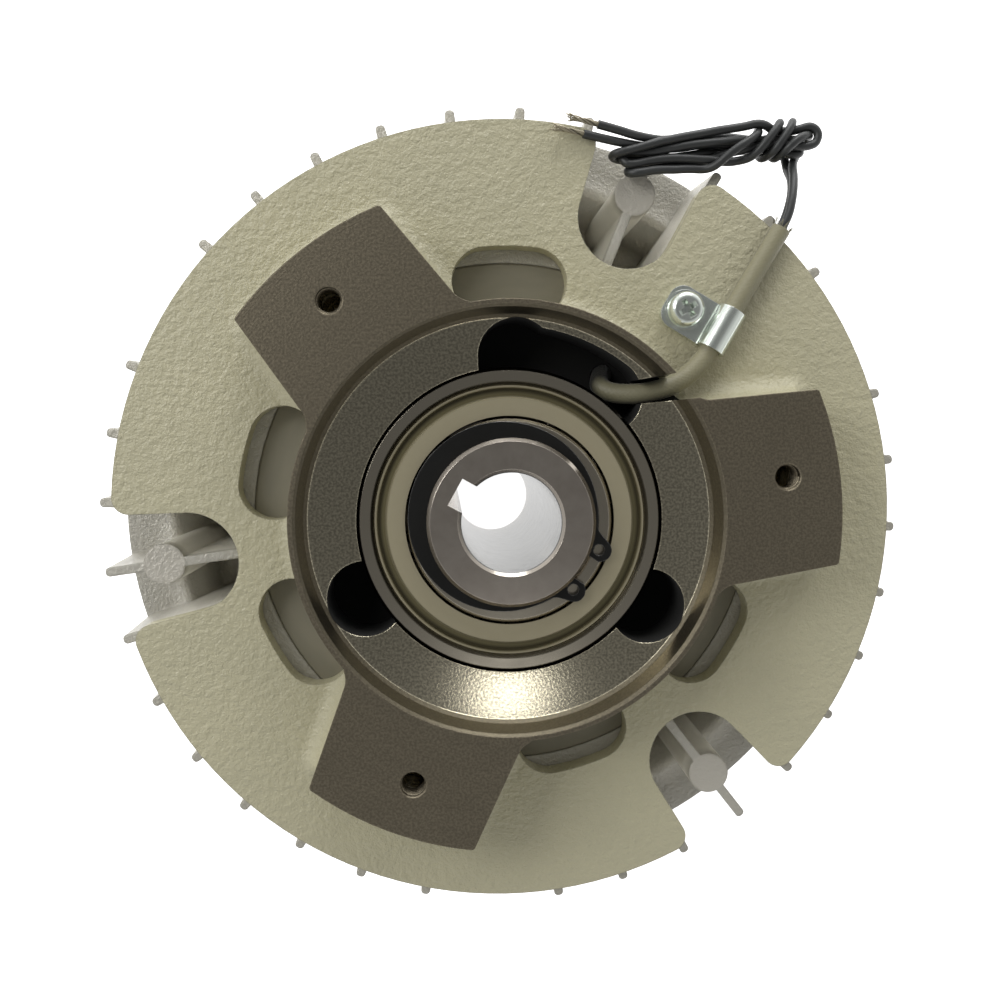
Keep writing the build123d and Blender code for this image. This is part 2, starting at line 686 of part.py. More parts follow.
def clip_screw():
    """Pan head with a cross recess."""
    seat = -FLANGE_TOP + 2 * STRAP_T + WASHER_T
    head = drum(CLIP_HEAD_D / 2, seat + CLIP_HEAD_H, seat)
    rim = head.edges().group_by(Axis.Z)[-1]
    head = fillet(rim, CLIP_HEAD_H * 0.6)
    arm = Rectangle(CLIP_HEAD_D * 0.55, 1.0) + Rectangle(1.0, CLIP_HEAD_D * 0.55)
    head -= prism(arm, seat + CLIP_HEAD_H, seat + CLIP_HEAD_H * 0.4)
    reach = WASHER_T + 2 * STRAP_T + CLIP_THREAD
    body = head + drum(CLIP_SCREW_D / 2, seat, seat - reach)
    return Pos(*clip_screw_place()) * body


def route_radii(route):
    """Largest bend at each corner that its two runs allow."""
    points = [Vector(*p) for p in route]
    radii = []
    for a, b, c in zip(points, points[1:], points[2:]):
        turn = (b - a).get_angle(c - b)
        radii.append(0.45 * min((b - a).length, (c - b).length) / tan(radians(turn / 2)))
    return radii


def cord(name, route, diameter):
    """Plain tube along a route, of straight runs joined by tangent arcs."""
    radii = route_radii(route)
    line = FilletPolyline(*route, radius=radii)
    plane = Plane(origin=line @ 0, z_dir=line % 0)
    tube = sweep(plane * Circle(diameter / 2), path=line)
    expected = pi * diameter ** 2 / 4 * line.length
    print(f"{name}: length {line.length:.1f}, volume over section times length "
          f"{tube.volume / expected:.4f}, radii {[round(r, 1) for r in radii]}")
    return tube


def lead_hank():
    """Outer shape of the wound leads."""
    rings = []
    for x, y, z, half_y, half_z in HANK_STATIONS:
        plane = Plane(origin=(x, y, z), x_dir=(0, 1, 0), z_dir=(1, 0, 0))
        rings.append(plane * Ellipse(half_y, half_z))
    return loft(rings)


def strands(route):
    """Stripped end of a lead, in line with its last run."""
    a, b = Vector(*route[-2]), Vector(*route[-1])
    return bar(b, b + (b - a).normalized() * STRAND_L, STRAND_D)


def save(name, shape):
    solids = shape if isinstance(shape, list) else [shape]
    solids = [s for item in solids for s in item.solids()]
    result = solids[0] if len(solids) == 1 else Compound(children=solids)
    result.label = name
    export_step(result, f"parts/{name}.step")


def save_bearing(name, top, bottom):
    save(f"{name}_outer_ring", race_ring(OUTER_RING_BORE / 2, BEARING_D / 2, top, bottom))
    save(f"{name}_inner_ring", race_ring(JOURNAL_D / 2, INNER_RING_D / 2, top, bottom))
    save(f"{name}_shields", bearing_shields(top, bottom))
    save(f"{name}_balls", bearing_balls(top, bottom))
    save(f"{name}_cage", bearing_cage(top, bottom))


os.makedirs("parts", exist_ok=True)

save("mount_housing", mount_housing())
save("yoke_rear", yoke_rear())
save("yoke_front", yoke_front())
save("yoke_screws", yoke_screws())
save("gap_ring", gap_ring())
save("coil_bobbin", coil_bobbin())
save("coil_winding", coil_winding())
save("magnetic_powder", magnetic_powder())
save("rear_seal", seal(bearing_bottom - SHOULDER_T, 1))
save("front_seal", seal(front_inner + SHOULDER_T, -1))
save("finned_housing", finned_housing())
save("housing_bolts", housing_bolts())

save("hollow_shaft", hollow_shaft())
save("rotor_drum", rotor_drum())
save("rear_circlip", Pos(0, 0, bearing_top) * circlip())
save("front_circlip", Pos(0, 0, front_face - CLIP_T) * circlip())
save_bearing("rear_bearing", bearing_top, bearing_bottom)
save_bearing("front_bearing", front_inner, front_face)

save("cable_clip", cable_clip())
save("clip_washer", clip_washer())
save("clip_screw", clip_screw())

save("lead_sleeve", cord("lead_sleeve", SLEEVE_ROUTE, SLEEVE_D))
save("lead_a", cord("lead_a", LEAD_A_ROUTE, LEAD_D))
save("lead_b", cord("lead_b", LEAD_B_ROUTE, LEAD_D))
save("lead_hank", lead_hank())
save("lead_end_a", cord("lead_end_a", END_A_ROUTE, LEAD_D))
save("lead_end_b", cord("lead_end_b", END_B_ROUTE, LEAD_D))
save("strands_a", strands(END_A_ROUTE))
save("strands_b", strands(END_B_ROUTE))
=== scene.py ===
import bpy
import math
import random
from mathutils import Matrix, Vector


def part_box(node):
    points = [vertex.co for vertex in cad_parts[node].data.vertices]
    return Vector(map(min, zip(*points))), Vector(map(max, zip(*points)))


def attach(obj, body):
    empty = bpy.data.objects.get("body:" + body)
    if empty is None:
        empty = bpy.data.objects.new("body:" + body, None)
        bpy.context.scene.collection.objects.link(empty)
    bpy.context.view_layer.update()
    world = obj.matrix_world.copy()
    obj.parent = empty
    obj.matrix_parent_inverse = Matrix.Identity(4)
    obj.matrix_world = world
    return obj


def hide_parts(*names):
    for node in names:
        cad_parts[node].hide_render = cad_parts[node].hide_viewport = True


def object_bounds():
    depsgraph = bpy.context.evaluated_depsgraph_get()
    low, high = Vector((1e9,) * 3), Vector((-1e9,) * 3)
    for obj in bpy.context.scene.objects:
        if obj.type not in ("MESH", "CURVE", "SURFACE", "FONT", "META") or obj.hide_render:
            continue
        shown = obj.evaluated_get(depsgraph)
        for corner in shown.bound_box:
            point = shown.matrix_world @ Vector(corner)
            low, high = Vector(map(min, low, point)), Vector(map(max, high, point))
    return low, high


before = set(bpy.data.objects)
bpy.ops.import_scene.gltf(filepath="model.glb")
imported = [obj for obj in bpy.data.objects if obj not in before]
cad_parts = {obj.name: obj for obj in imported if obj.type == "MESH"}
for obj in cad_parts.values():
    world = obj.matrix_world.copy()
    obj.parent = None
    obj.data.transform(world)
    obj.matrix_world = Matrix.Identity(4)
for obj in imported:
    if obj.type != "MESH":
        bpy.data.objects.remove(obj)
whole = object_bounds()
bpy.ops.object.select_all(action="DESELECT")
MM = 0.001

# The table and the studio. The brake lies on a lit white table, as in a catalogue picture: a dark
# ceiling over the camera, bright walls around, a small ceiling lamp and two windows.

TABLE_SIZE = 8.0
CAMERA_AT = (-0.0132, 0.0186, 0.1961)
CAMERA_TILT = (math.radians(-4.06), math.radians(-3.16), 0)
UPWARD = [(0.0, 1.0), (0.45, 0.95), (0.8, 0.55), (0.93, 0.24), (1.0, 0.16)]
ALONG = [(0.0, 0.95), (0.12, 0.75), (0.3, 0.68), (0.72, 0.72), (0.85, 1.0), (1.0, 1.0)]
WALL_LIGHT = 1.15


def material(name):
    """A new material with its node tree and its shader."""
    made = bpy.data.materials.new(name)
    made.use_nodes = True
    return made, made.node_tree, made.node_tree.nodes["Principled BSDF"]


def add(tree, kind, inputs=(), **settings):
    """A shader node with its settings; its inputs are linked or set by name or number."""
    made = tree.nodes.new("ShaderNode" + kind)
    for key, value in settings.items():
        setattr(made, key, value)
    for key, value in dict(inputs).items():
        if isinstance(value, bpy.types.NodeSocket):
            tree.links.new(value, made.inputs[key])
        else:
            made.inputs[key].default_value = value
    return made


def calc(tree, operation, *values):
    """The output of a Math node over these numbers."""
    made = add(tree, "Math", dict(enumerate(values)), operation=operation)
    return made.outputs[0]


def greys(tree, value, stops):
    """A ramp of greys over a number."""
    ramp = add(tree, "ValToRGB", {0: value})
    while len(ramp.color_ramp.elements) < len(stops):
        ramp.color_ramp.elements.new(0.5)
    for stop, (place, grey) in zip(ramp.color_ramp.elements, stops):
        stop.position = place
        stop.color = (grey, grey, grey, 1)
    return ramp.outputs[0]


scene = bpy.context.scene
scene.view_settings.view_transform = "Standard"

bpy.ops.mesh.primitive_plane_add(size=TABLE_SIZE, location=(0, 0, whole[0][2]))
table = bpy.context.object
table.name = "light_table"
table_white, tree, shader = material("lit_white_table")
shader.inputs["Base Color"].default_value = (0.8, 0.8, 0.8, 1)
shader.inputs["Roughness"].default_value = 0.9
shader.inputs["Emission Color"].default_value = (1, 1, 1, 1)
shader.inputs["Emission Strength"].default_value = 1.0
table.data.materials.append(table_white)

lens = bpy.data.cameras.new("camera")
lens.lens = 36.0
lens.sensor_width = 36.0
lens.clip_start = 0.01
camera = bpy.data.objects.new("camera", lens)
scene.collection.objects.link(camera)
camera.location = CAMERA_AT
camera.rotation_euler = CAMERA_TILT
scene.camera = camera

studio = bpy.data.worlds.new("studio")
scene.world = studio
studio.use_nodes = True
walls = studio.node_tree
way = add(walls, "SeparateXYZ", {0: add(walls, "TexCoord").outputs["Generated"]}).outputs
along = calc(walls, "MULTIPLY_ADD", way["Y"], 0.5, 0.5)
light = calc(walls, "MULTIPLY", greys(walls, way["Z"], UPWARD), greys(walls, along, ALONG))
background = walls.nodes["Background"]
walls.links.new(light, background.inputs["Color"])
background.inputs["Strength"].default_value = WALL_LIGHT


def lamp(name, place, size, power):
    """A soft rectangular lamp that points at the brake."""
    data = bpy.data.lights.new(name, "AREA")
    data.shape = "RECTANGLE"
    data.size, data.size_y = size
    data.energy = power
    made = bpy.data.objects.new(name, data)
    scene.collection.objects.link(made)
    made.location = place
    made.rotation_euler = (-Vector(place)).to_track_quat("-Z", "Y").to_euler()


lamp("ceiling_lamp", place=(0.058, -0.28, 0.9), size=(0.07, 0.05), power=0.055)
lamp("window", place=(-0.9, 0.5, 0.8), size=(0.6, 0.6), power=7.0)
lamp("far_window", place=(0.12, 1.25, 0.4), size=(0.9, 0.5), power=8.0)

# The mounting casting. Grey iron, painted cream all over, then turned bare on the three pads,
# the hub with its recess and the bearing seat. The cored pockets are near black inside: painted
# shade.

CREAM = [(0.45, 0.42, 0.285), (0.37, 0.35, 0.24)]
WORN_PAINT = (0.16, 0.15, 0.11)
BARE_IRON = [(0.265, 0.23, 0.165), (0.16, 0.138, 0.10)]
RECESS_WALL = (0.135, 0.118, 0.083)
SMOOTH_FLOOR = (0.66, 0.605, 0.455)
GRIT = (0.08, 0.072, 0.055)
# Painted shade: near black for the inside of the cored pockets.
POCKET_PAINTED_SHADE = (0.003, 0.003, 0.002)
PAINT_ROUGH, IRON_ROUGH, FLOOR_ROUGH, POCKET_ROUGH = (0.32, 0.5), (0.38, 0.52), 0.12, 0.95
MARKS_RELIEF, GRIT_RELIEF = (0.05, 0.008), (0.09, 0.016)    # rough faces, smooth floor
TAP_FIRST, TAP_AT, TAP_SINK_R = math.radians(9.3), 56.0 * MM, 3.1 * MM
HUB_R, POCKET_R = 43.5 * MM, 31.15 * MM
PAD_LEVEL, FLOOR_LEVEL, UNDER_FLOOR = -0.04 * MM, -4.9 * MM, -5.05 * MM

def blend_of(tree, factor, a, b):
    """Colour a where the factor is 0 and b where it is 1."""
    a, b = [c if isinstance(c, bpy.types.NodeSocket) else (*c, 1) for c in (a, b)]
    return add(tree, "Mix", {0: factor, 6: a, 7: b}, data_type="RGBA").outputs[2]


def level_of(tree, factor, a, b):
    """Number a where the factor is 0 and b where it is 1."""
    return add(tree, "Mix", {0: factor, 2: a, 3: b}, data_type="FLOAT").outputs[0]


def fade(tree, value, start, end):
    """0 up to the start, 1 past the end, and straight in between."""
    return add(tree, "MapRange", {0: value, 1: start, 2: end}).outputs[0]


def effect(name, inputs, outputs):
    """An empty shader node group with named numbers in and out."""
    group = bpy.data.node_groups.new(name, "ShaderNodeTree")
    for label, value in inputs.items():
        socket = group.interface.new_socket(label, in_out="INPUT", socket_type="NodeSocketFloat")
        socket.default_value = value
    for label in outputs:
        group.interface.new_socket(label, in_out="OUTPUT", socket_type="NodeSocketFloat")
    start = group.nodes.new("NodeGroupInput")
    end = group.nodes.new("NodeGroupOutput")
    return group, start.outputs, end.inputs


def use(tree, group, **values):
    """An effect placed in a material with its own values."""
    made = tree.nodes.new("ShaderNodeGroup")
    made.node_tree = group
    for key, value in values.items():
        made.inputs[key].default_value = value
    return made.outputs


# Where a point lies: its distance from the shaft's axis, its turn round it and its level.
AROUND, given, out = effect("around_the_shaft", {}, ["Radius", "Turn", "Level"])
xyz = add(AROUND, "SeparateXYZ", {0: add(AROUND, "TexCoord").outputs["Object"]}).outputs
flat = add(AROUND, "CombineXYZ", {0: xyz[0], 1: xyz[1]}).outputs[0]
AROUND.links.new(add(AROUND, "VectorMath", {0: flat}, operation="LENGTH").outputs["Value"],
                 out["Radius"])
AROUND.links.new(calc(AROUND, "ARCTAN2", xyz[1], xyz[0]), out["Turn"])
AROUND.links.new(xyz[2], out["Level"])

# Cast grain: a coarse noise with a finer one on it, and slow patches for colour and gloss.
GRAIN, given, out = effect("cast_grain", {"Fineness": 800.0}, ["Height", "Mottle"])
spot = add(GRAIN, "TexCoord").outputs["Object"]
coarse = add(GRAIN, "TexNoise", {"Vector": spot, "Scale": given["Fineness"], "Detail": 3.0,
                                 "Roughness": 0.6}).outputs[0]
finer = calc(GRAIN, "MULTIPLY", given["Fineness"], 2.7)
fine = add(GRAIN, "TexNoise", {"Vector": spot, "Scale": finer, "Detail": 2.0}).outputs[0]
GRAIN.links.new(calc(GRAIN, "MULTIPLY_ADD", fine, 0.35, coarse), out["Height"])
GRAIN.links.new(add(GRAIN, "TexNoise", {"Vector": spot, "Scale": 55.0, "Detail": 4.0,
                                        "Roughness": 0.62}).outputs[0], out["Mottle"])

# Turning marks: fine rings about the axis, and patches that are drawn out along them.
TURNED, given, out = effect("turning_marks", {"Lines": 5000.0}, ["Height", "Mottle"])
here = use(TURNED, AROUND)
across = add(TURNED, "CombineXYZ", {0: here["Radius"], 2: here["Level"]}).outputs[0]
TURNED.links.new(add(TURNED, "TexNoise", {"Vector": across, "Scale": given["Lines"],
                                          "Detail": 3.0, "Roughness": 0.7}).outputs[0],
                 out["Height"])
outward = calc(TURNED, "MULTIPLY", here["Radius"], 250.0)
along = add(TURNED, "CombineXYZ", {
    0: calc(TURNED, "MULTIPLY", calc(TURNED, "COSINE", here["Turn"]), 4.0),
    1: calc(TURNED, "MULTIPLY", calc(TURNED, "SINE", here["Turn"]), 4.0),
    2: calc(TURNED, "MULTIPLY_ADD", here["Level"], 400.0, outward)}).outputs[0]
TURNED.links.new(add(TURNED, "TexNoise", {"Vector": along, "Scale": 1.0, "Detail": 2.0,
                                          "Roughness": 0.5}).outputs[0], out["Mottle"])

# The distance from the nearest of three spots that lie a third of a turn apart.
THIRDS, given, out = effect("spots_in_thirds", {"First": 0.0, "Away": 0.05}, ["Distance"])
here = use(THIRDS, AROUND)
third = 2 * math.pi / 3
fold = add(THIRDS, "Math", {0: calc(THIRDS, "SUBTRACT", here["Turn"], given["First"]),
                            1: third / 2, 2: -third / 2}, operation="WRAP").outputs[0]
outward = calc(THIRDS, "MULTIPLY", here["Radius"], calc(THIRDS, "COSINE", fold))
sideways = calc(THIRDS, "MULTIPLY", here["Radius"], calc(THIRDS, "SINE", fold))
spot = add(THIRDS, "CombineXYZ", {0: calc(THIRDS, "SUBTRACT", outward, given["Away"]),
                                  1: sideways}).outputs[0]
THIRDS.links.new(add(THIRDS, "VectorMath", {0: spot}, operation="LENGTH").outputs["Value"],
                 out["Distance"])

# Edge wear: where a rounded normal leaves the face's own, in broken patches.
WEAR, given, out = effect("edge_wear", {"Width": 0.0004, "Bite": 0.5}, ["Mask"])
rounded = add(WEAR, "Bevel", {"Radius": given["Width"]}, samples=4).outputs[0]
face = add(WEAR, "NewGeometry").outputs["Normal"]
straight = add(WEAR, "VectorMath", {0: rounded, 1: face}, operation="DOT_PRODUCT").outputs["Value"]
patch = add(WEAR, "TexNoise", {"Vector": add(WEAR, "TexCoord").outputs["Object"], "Scale": 420.0,
                               "Detail": 3.0}).outputs[0]
edge = calc(WEAR, "SUBTRACT", calc(WEAR, "MULTIPLY_ADD", patch, given["Bite"], 0.61), straight)
WEAR.links.new(fade(WEAR, edge, 0.0, 0.06), out["Mask"])


def wear_it(node, finish):
    """Puts a material on a CAD node or a new piece."""
    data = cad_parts[node].data if isinstance(node, str) else node.data
    data.materials.clear()
    data.materials.append(finish)


def relief(tree, shader, height, depth, rounding=0.0):
    """Bump of this depth, over edges softened by this radius."""
    bump = add(tree, "Bump", {"Height": height, "Strength": 1.0, "Distance": depth})
    if rounding:
        soft = add(tree, "Bevel", {"Radius": rounding}, samples=4)
        tree.links.new(soft.outputs[0], bump.inputs["Normal"])
    tree.links.new(bump.outputs[0], shader.inputs["Normal"])


casting, tree, shader = material("cream_paint_on_cast_iron")
here = use(tree, AROUND)
grain = use(tree, GRAIN, Fineness=620.0)
marks = use(tree, TURNED, Lines=4200.0)
edge_mask = use(tree, WEAR, Width=0.0003, Bite=0.45)["Mask"]
pad_face = calc(tree, "GREATER_THAN", here["Level"], PAD_LEVEL)
in_hub = calc(tree, "LESS_THAN", here["Radius"], HUB_R)
from_tap = use(tree, THIRDS, First=TAP_FIRST, Away=TAP_AT)["Distance"]
in_tap = calc(tree, "LESS_THAN", from_tap, TAP_SINK_R)
bare = calc(tree, "MAXIMUM", calc(tree, "MAXIMUM", pad_face, in_hub), in_tap)
# Painted shade: the walls of the cored pockets, below the recess floor, are made near black.
cored = calc(tree, "MULTIPLY", in_hub, calc(tree, "LESS_THAN", here["Level"], UNDER_FLOOR))
cored = calc(tree, "MULTIPLY", cored, calc(tree, "GREATER_THAN", here["Radius"], POCKET_R))
paint = blend_of(tree, grain["Mottle"], *CREAM)
paint = blend_of(tree, edge_mask, paint, WORN_PAINT)
smooth = calc(tree, "LESS_THAN", here["Level"], FLOOR_LEVEL)
iron = blend_of(tree, marks["Mottle"], *BARE_IRON)
sloping = calc(tree, "MULTIPLY", in_hub, calc(tree, "SUBTRACT", 1.0, pad_face))
iron = blend_of(tree, sloping, iron, RECESS_WALL)
iron = blend_of(tree, smooth, iron, SMOOTH_FLOOR)
speckle = add(tree, "TexNoise", {"Vector": add(tree, "TexCoord").outputs["Object"],
                                 "Scale": 2000.0, "Detail": 2.0}).outputs[0]
grit = calc(tree, "MULTIPLY", fade(tree, speckle, 0.38, 0.62), 0.45)
iron = blend_of(tree, grit, iron, GRIT)
color = blend_of(tree, bare, paint, iron)
color = blend_of(tree, cored, color, POCKET_PAINTED_SHADE)
tree.links.new(color, shader.inputs["Base Color"])
metal = calc(tree, "MULTIPLY", bare, calc(tree, "SUBTRACT", 1.0, cored))
tree.links.new(metal, shader.inputs["Metallic"])
paint_rough = level_of(tree, grain["Mottle"], *PAINT_ROUGH)
iron_rough = level_of(tree, marks["Mottle"], *IRON_ROUGH)
iron_rough = level_of(tree, smooth, iron_rough, FLOOR_ROUGH)
rough = level_of(tree, cored, level_of(tree, bare, paint_rough, iron_rough), POCKET_ROUGH)
tree.links.new(rough, shader.inputs["Roughness"])
ridges = calc(tree, "MULTIPLY", marks["Height"], level_of(tree, smooth, *MARKS_RELIEF))
iron_height = calc(tree, "MULTIPLY_ADD", speckle, level_of(tree, smooth, *GRIT_RELIEF), ridges)
height = level_of(tree, bare, grain["Height"], iron_height)
relief(tree, shader, height, 0.5 * MM, rounding=0.35 * MM)
wear_it("mount_housing", casting)


def plain_finish(name, colors, rough, metallic, grain_size=900.0, depth=0.00003, rounding=0.0,
                 worn=None):
    """Colour and gloss that vary with a cast or moulded grain."""
    made, tree, shader = material(name)
    grain = use(tree, GRAIN, Fineness=grain_size)
    color = blend_of(tree, grain["Mottle"], *colors)
    if worn:
        color = blend_of(tree, use(tree, WEAR, Width=0.0003, Bite=0.4)["Mask"], color, worn)
    tree.links.new(color, shader.inputs["Base Color"])
    tree.links.new(level_of(tree, grain["Mottle"], *rough), shader.inputs["Roughness"])
    shader.inputs["Metallic"].default_value = metallic
    relief(tree, shader, grain["Height"], depth, rounding)
    return made


def turned_finish(name, colors, rough, lines=6000.0, depth=0.00001, metallic=1.0, rounding=0.0):
    """Metal with the fine rings that a lathe leaves."""
    made, tree, shader = material(name)
    marks = use(tree, TURNED, Lines=lines)
    tree.links.new(blend_of(tree, marks["Mottle"], *colors), shader.inputs["Base Color"])
    tree.links.new(level_of(tree, marks["Mottle"], *rough), shader.inputs["Roughness"])
    shader.inputs["Metallic"].default_value = metallic
    relief(tree, shader, marks["Height"], depth, rounding)
    return made


# The magnet. Two soft iron rings, screwed to the casting, hold the coil; a brass ring parts
# their lips, and the powder lies between them and the rotor.

yoke_iron = turned_finish("blackened_soft_iron", [(0.27, 0.25, 0.185), (0.19, 0.178, 0.135)],
                          (0.5, 0.62), metallic=0.35)
for name in ("yoke_rear", "yoke_front"):
    wear_it(name, yoke_iron)
wear_it("gap_ring", turned_finish("brass", [(0.72, 0.52, 0.20), (0.6, 0.42, 0.16)], (0.25, 0.4)))
wear_it("coil_bobbin", plain_finish("glass_filled_nylon", [(0.035, 0.035, 0.04),
                                                           (0.06, 0.06, 0.065)], (0.4, 0.55), 0.0))
wear_it("coil_winding", turned_finish("enamelled_copper", [(0.60, 0.22, 0.09), (0.48, 0.15, 0.06)],
                                      (0.22, 0.35), lines=1500.0, depth=0.00015))
wear_it("magnetic_powder", plain_finish("iron_powder", [(0.10, 0.095, 0.09), (0.05, 0.048, 0.045)],
                                        (0.6, 0.8), 0.4, grain_size=3500.0, depth=0.0001))
seal_rubber = plain_finish("nitrile_rubber", [(0.02, 0.02, 0.021), (0.035, 0.034, 0.033)],
                           (0.5, 0.65), 0.0)
for name in ("rear_seal", "front_seal"):
    wear_it(name, seal_rubber)
black_screw = plain_finish("blackened_screw_steel", [(0.05, 0.05, 0.052), (0.085, 0.08, 0.078)],
                           (0.3, 0.45), 0.8, worn=(0.35, 0.34, 0.33))
for name in ("yoke_screws", "housing_bolts"):
    wear_it(name, black_screw)

# The finned housing. One sand casting in aluminium, shot-blasted to a bright even grain; the
# three bosses and the fins are part of it. Its deep parts inside the rim get painted light.

CAST_SKIN = [(0.50, 0.48, 0.42), (0.40, 0.385, 0.335)]
# Painted light: a much lighter skin for the deep parts inside the rim, which the flange shades.
DEEP_PAINTED_LIGHT = (0.86, 0.84, 0.77)
MACHINED_TOP = (0.50, 0.475, 0.415)
BOSS_FIRST, BOSS_AT, BOSS_R = math.radians(68.0), 74.0 * MM, 4.4 * MM
BOSS_LEVEL = -20.4 * MM
PAINTED_LIGHT_INWARD = (84.0 * MM, 76.0 * MM)
PAINTED_LIGHT_BELOW = (-20.5 * MM, -25.0 * MM)
PAINTED_LIGHT_ABOVE = (-65.0 * MM, -55.0 * MM)

blasted = plain_finish("blasted_aluminium", CAST_SKIN, (0.32, 0.5), 0.35, grain_size=1100.0,
                       depth=0.0003, rounding=0.0008)
wear_it("finned_housing", blasted)
tree = blasted.node_tree
here = use(tree, AROUND)
base = tree.nodes["Principled BSDF"].inputs["Base Color"]
skin = base.links[0].from_socket
# Painted light: the skin turns lighter below the brim, above the back and inward of the rim.
painted_fill = calc(tree, "MULTIPLY", fade(tree, here["Level"], *PAINTED_LIGHT_BELOW),
             fade(tree, here["Level"], *PAINTED_LIGHT_ABOVE))
painted_fill = calc(tree, "MULTIPLY", fade(tree, here["Radius"], *PAINTED_LIGHT_INWARD), painted_fill)
skin = blend_of(tree, painted_fill, skin, DEEP_PAINTED_LIGHT)
from_boss = use(tree, THIRDS, First=BOSS_FIRST, Away=BOSS_AT)["Distance"]
on_boss = fade(tree, from_boss, BOSS_R + 0.1 * MM, BOSS_R - 0.1 * MM)
machined = calc(tree, "MULTIPLY", on_boss, calc(tree, "GREATER_THAN", here["Level"], BOSS_LEVEL))
tree.links.new(blend_of(tree, machined, skin, MACHINED_TOP), base)

# The shaft and the rotor drum. A hollow shaft of ground steel with a keyway through its whole
# bore, turned with a groove for a circlip near each end. The drum is soft iron, pressed on it.

SHAFT = [(10.7, -0.5), (16.2, -0.5), (16.9, -1.2), (16.9, -4.0), (16.5, -4.0), (16.5, -5.5),
         (17.5, -5.5), (17.5, -19.5), (21.0, -19.5), (21.0, -70.5), (17.5, -70.5), (17.5, -84.5),
         (16.5, -84.5), (16.5, -86.0), (16.9, -86.0), (16.9, -88.8), (16.2, -89.5),
         (10.7, -89.5), (10.0, -88.8), (10.0, -1.2)]
SHAFT_MIDDLE = -45.0 * MM
KEYWAY_TURN = math.radians(151.0)
KEYWAY_W, KEYWAY_TOP, KEYWAY_L = 6.0 * MM, 12.8 * MM, 100.0 * MM
# Painted shade: the bore's wall and the two chamfers are darker than the turned face.
BORE_PAINTED_SHADE, CHAMFER_PAINTED_SHADE = (0.20, 0.20, 0.19), (0.42, 0.38, 0.33)
SHAFT_PAINTED_SHADES = [(-1.0, 10.2, BORE_PAINTED_SHADE), (10.2, 10.7, CHAMFER_PAINTED_SHADE), (16.2, 18.0, CHAMFER_PAINTED_SHADE)]

# A ring on a turned face, between two distances from the axis.
RING, given, out = effect("ring_on_a_face", {"Inner": 0.01, "Outer": 0.02, "Edge": 0.0001},
                          ["Mask"])
radius = use(RING, AROUND)["Radius"]
rise = fade(RING, radius, calc(RING, "SUBTRACT", given["Inner"], given["Edge"]),
            calc(RING, "ADD", given["Inner"], given["Edge"]))
fall = fade(RING, radius, calc(RING, "ADD", given["Outer"], given["Edge"]),
            calc(RING, "SUBTRACT", given["Outer"], given["Edge"]))
RING.links.new(calc(RING, "MULTIPLY", rise, fall), out["Mask"])


def tint(finish, inner, outer, color, edge=0.0001):
    """Gives a finish another colour between two distances from the axis."""
    tree = finish.node_tree
    base = tree.nodes["Principled BSDF"].inputs["Base Color"]
    before = base.links[0].from_socket
    mask = use(tree, RING, Inner=inner, Outer=outer, Edge=edge)["Mask"]
    tree.links.new(blend_of(tree, mask, before, color), base)


def finish_shape(piece, *modifiers):
    """Applies modifiers, given as a kind and its settings, in this order."""
    bpy.context.view_layer.objects.active = piece
    for kind, settings in modifiers:
        made = piece.modifiers.new(kind.lower(), kind)
        for key, value in settings.items():
            setattr(made, key, value)
        bpy.ops.object.modifier_apply(modifier=made.name)


def settle(piece, name, finish, body="stator"):
    """Names a finished piece, brings its object to the origin and lets it ride on its body."""
    bpy.ops.object.select_all(action="DESELECT")
    piece.select_set(True)
    bpy.context.view_layer.objects.active = piece
    bpy.ops.object.transform_apply(location=True, rotation=True, scale=True)
    piece.name = name
    wear_it(piece, finish)
    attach(piece, body)


def turned_piece(outline, sides=160):
    """A closed ring about the shaft, drawn out edge by edge from its outline's first circle."""
    bpy.ops.mesh.primitive_circle_add(vertices=sides, radius=outline[0][0])
    piece = bpy.context.object
    bpy.ops.object.mode_set(mode="EDIT")
    bpy.ops.mesh.select_all(action="SELECT")
    bpy.ops.transform.translate(value=(0, 0, outline[0][1]))
    for (r, z), (next_r, next_z) in zip(outline, outline[1:] + outline[:1]):
        bpy.ops.mesh.extrude_edges_move(TRANSFORM_OT_translate={"value": (0, 0, next_z - z)})
        bpy.ops.transform.resize(value=(next_r / r, next_r / r, 1), center_override=(0, 0, 0))
    bpy.ops.mesh.select_all(action="SELECT")
    bpy.ops.mesh.remove_doubles(threshold=1e-6)
    bpy.ops.mesh.normals_make_consistent(inside=False)
    bpy.ops.object.mode_set(mode="OBJECT")
    bpy.ops.object.shade_smooth_by_angle(angle=math.radians(20))
    return piece


def cut_away(piece, cutter):
    """Takes the cutter's shape out of the piece and clears the cutter away."""
    finish_shape(piece, ("BOOLEAN", {"object": cutter, "operation": "DIFFERENCE",
                                     "solver": "EXACT"}))
    bpy.data.objects.remove(cutter)


def block(long, wide, deep, turn, away, middle):
    """A box that lies away from the axis in the direction of this turn."""
    bpy.ops.mesh.primitive_cube_add(size=1.0, rotation=(0, 0, turn), scale=(long, wide, deep),
                                    location=(away * math.cos(turn), away * math.sin(turn), middle))
    return bpy.context.object


shaft_steel = turned_finish("ground_shaft_steel", [(0.82, 0.745, 0.65), (0.50, 0.44, 0.38)],
                            (0.16, 0.22), lines=7000.0, depth=0.000004, rounding=0.00015)
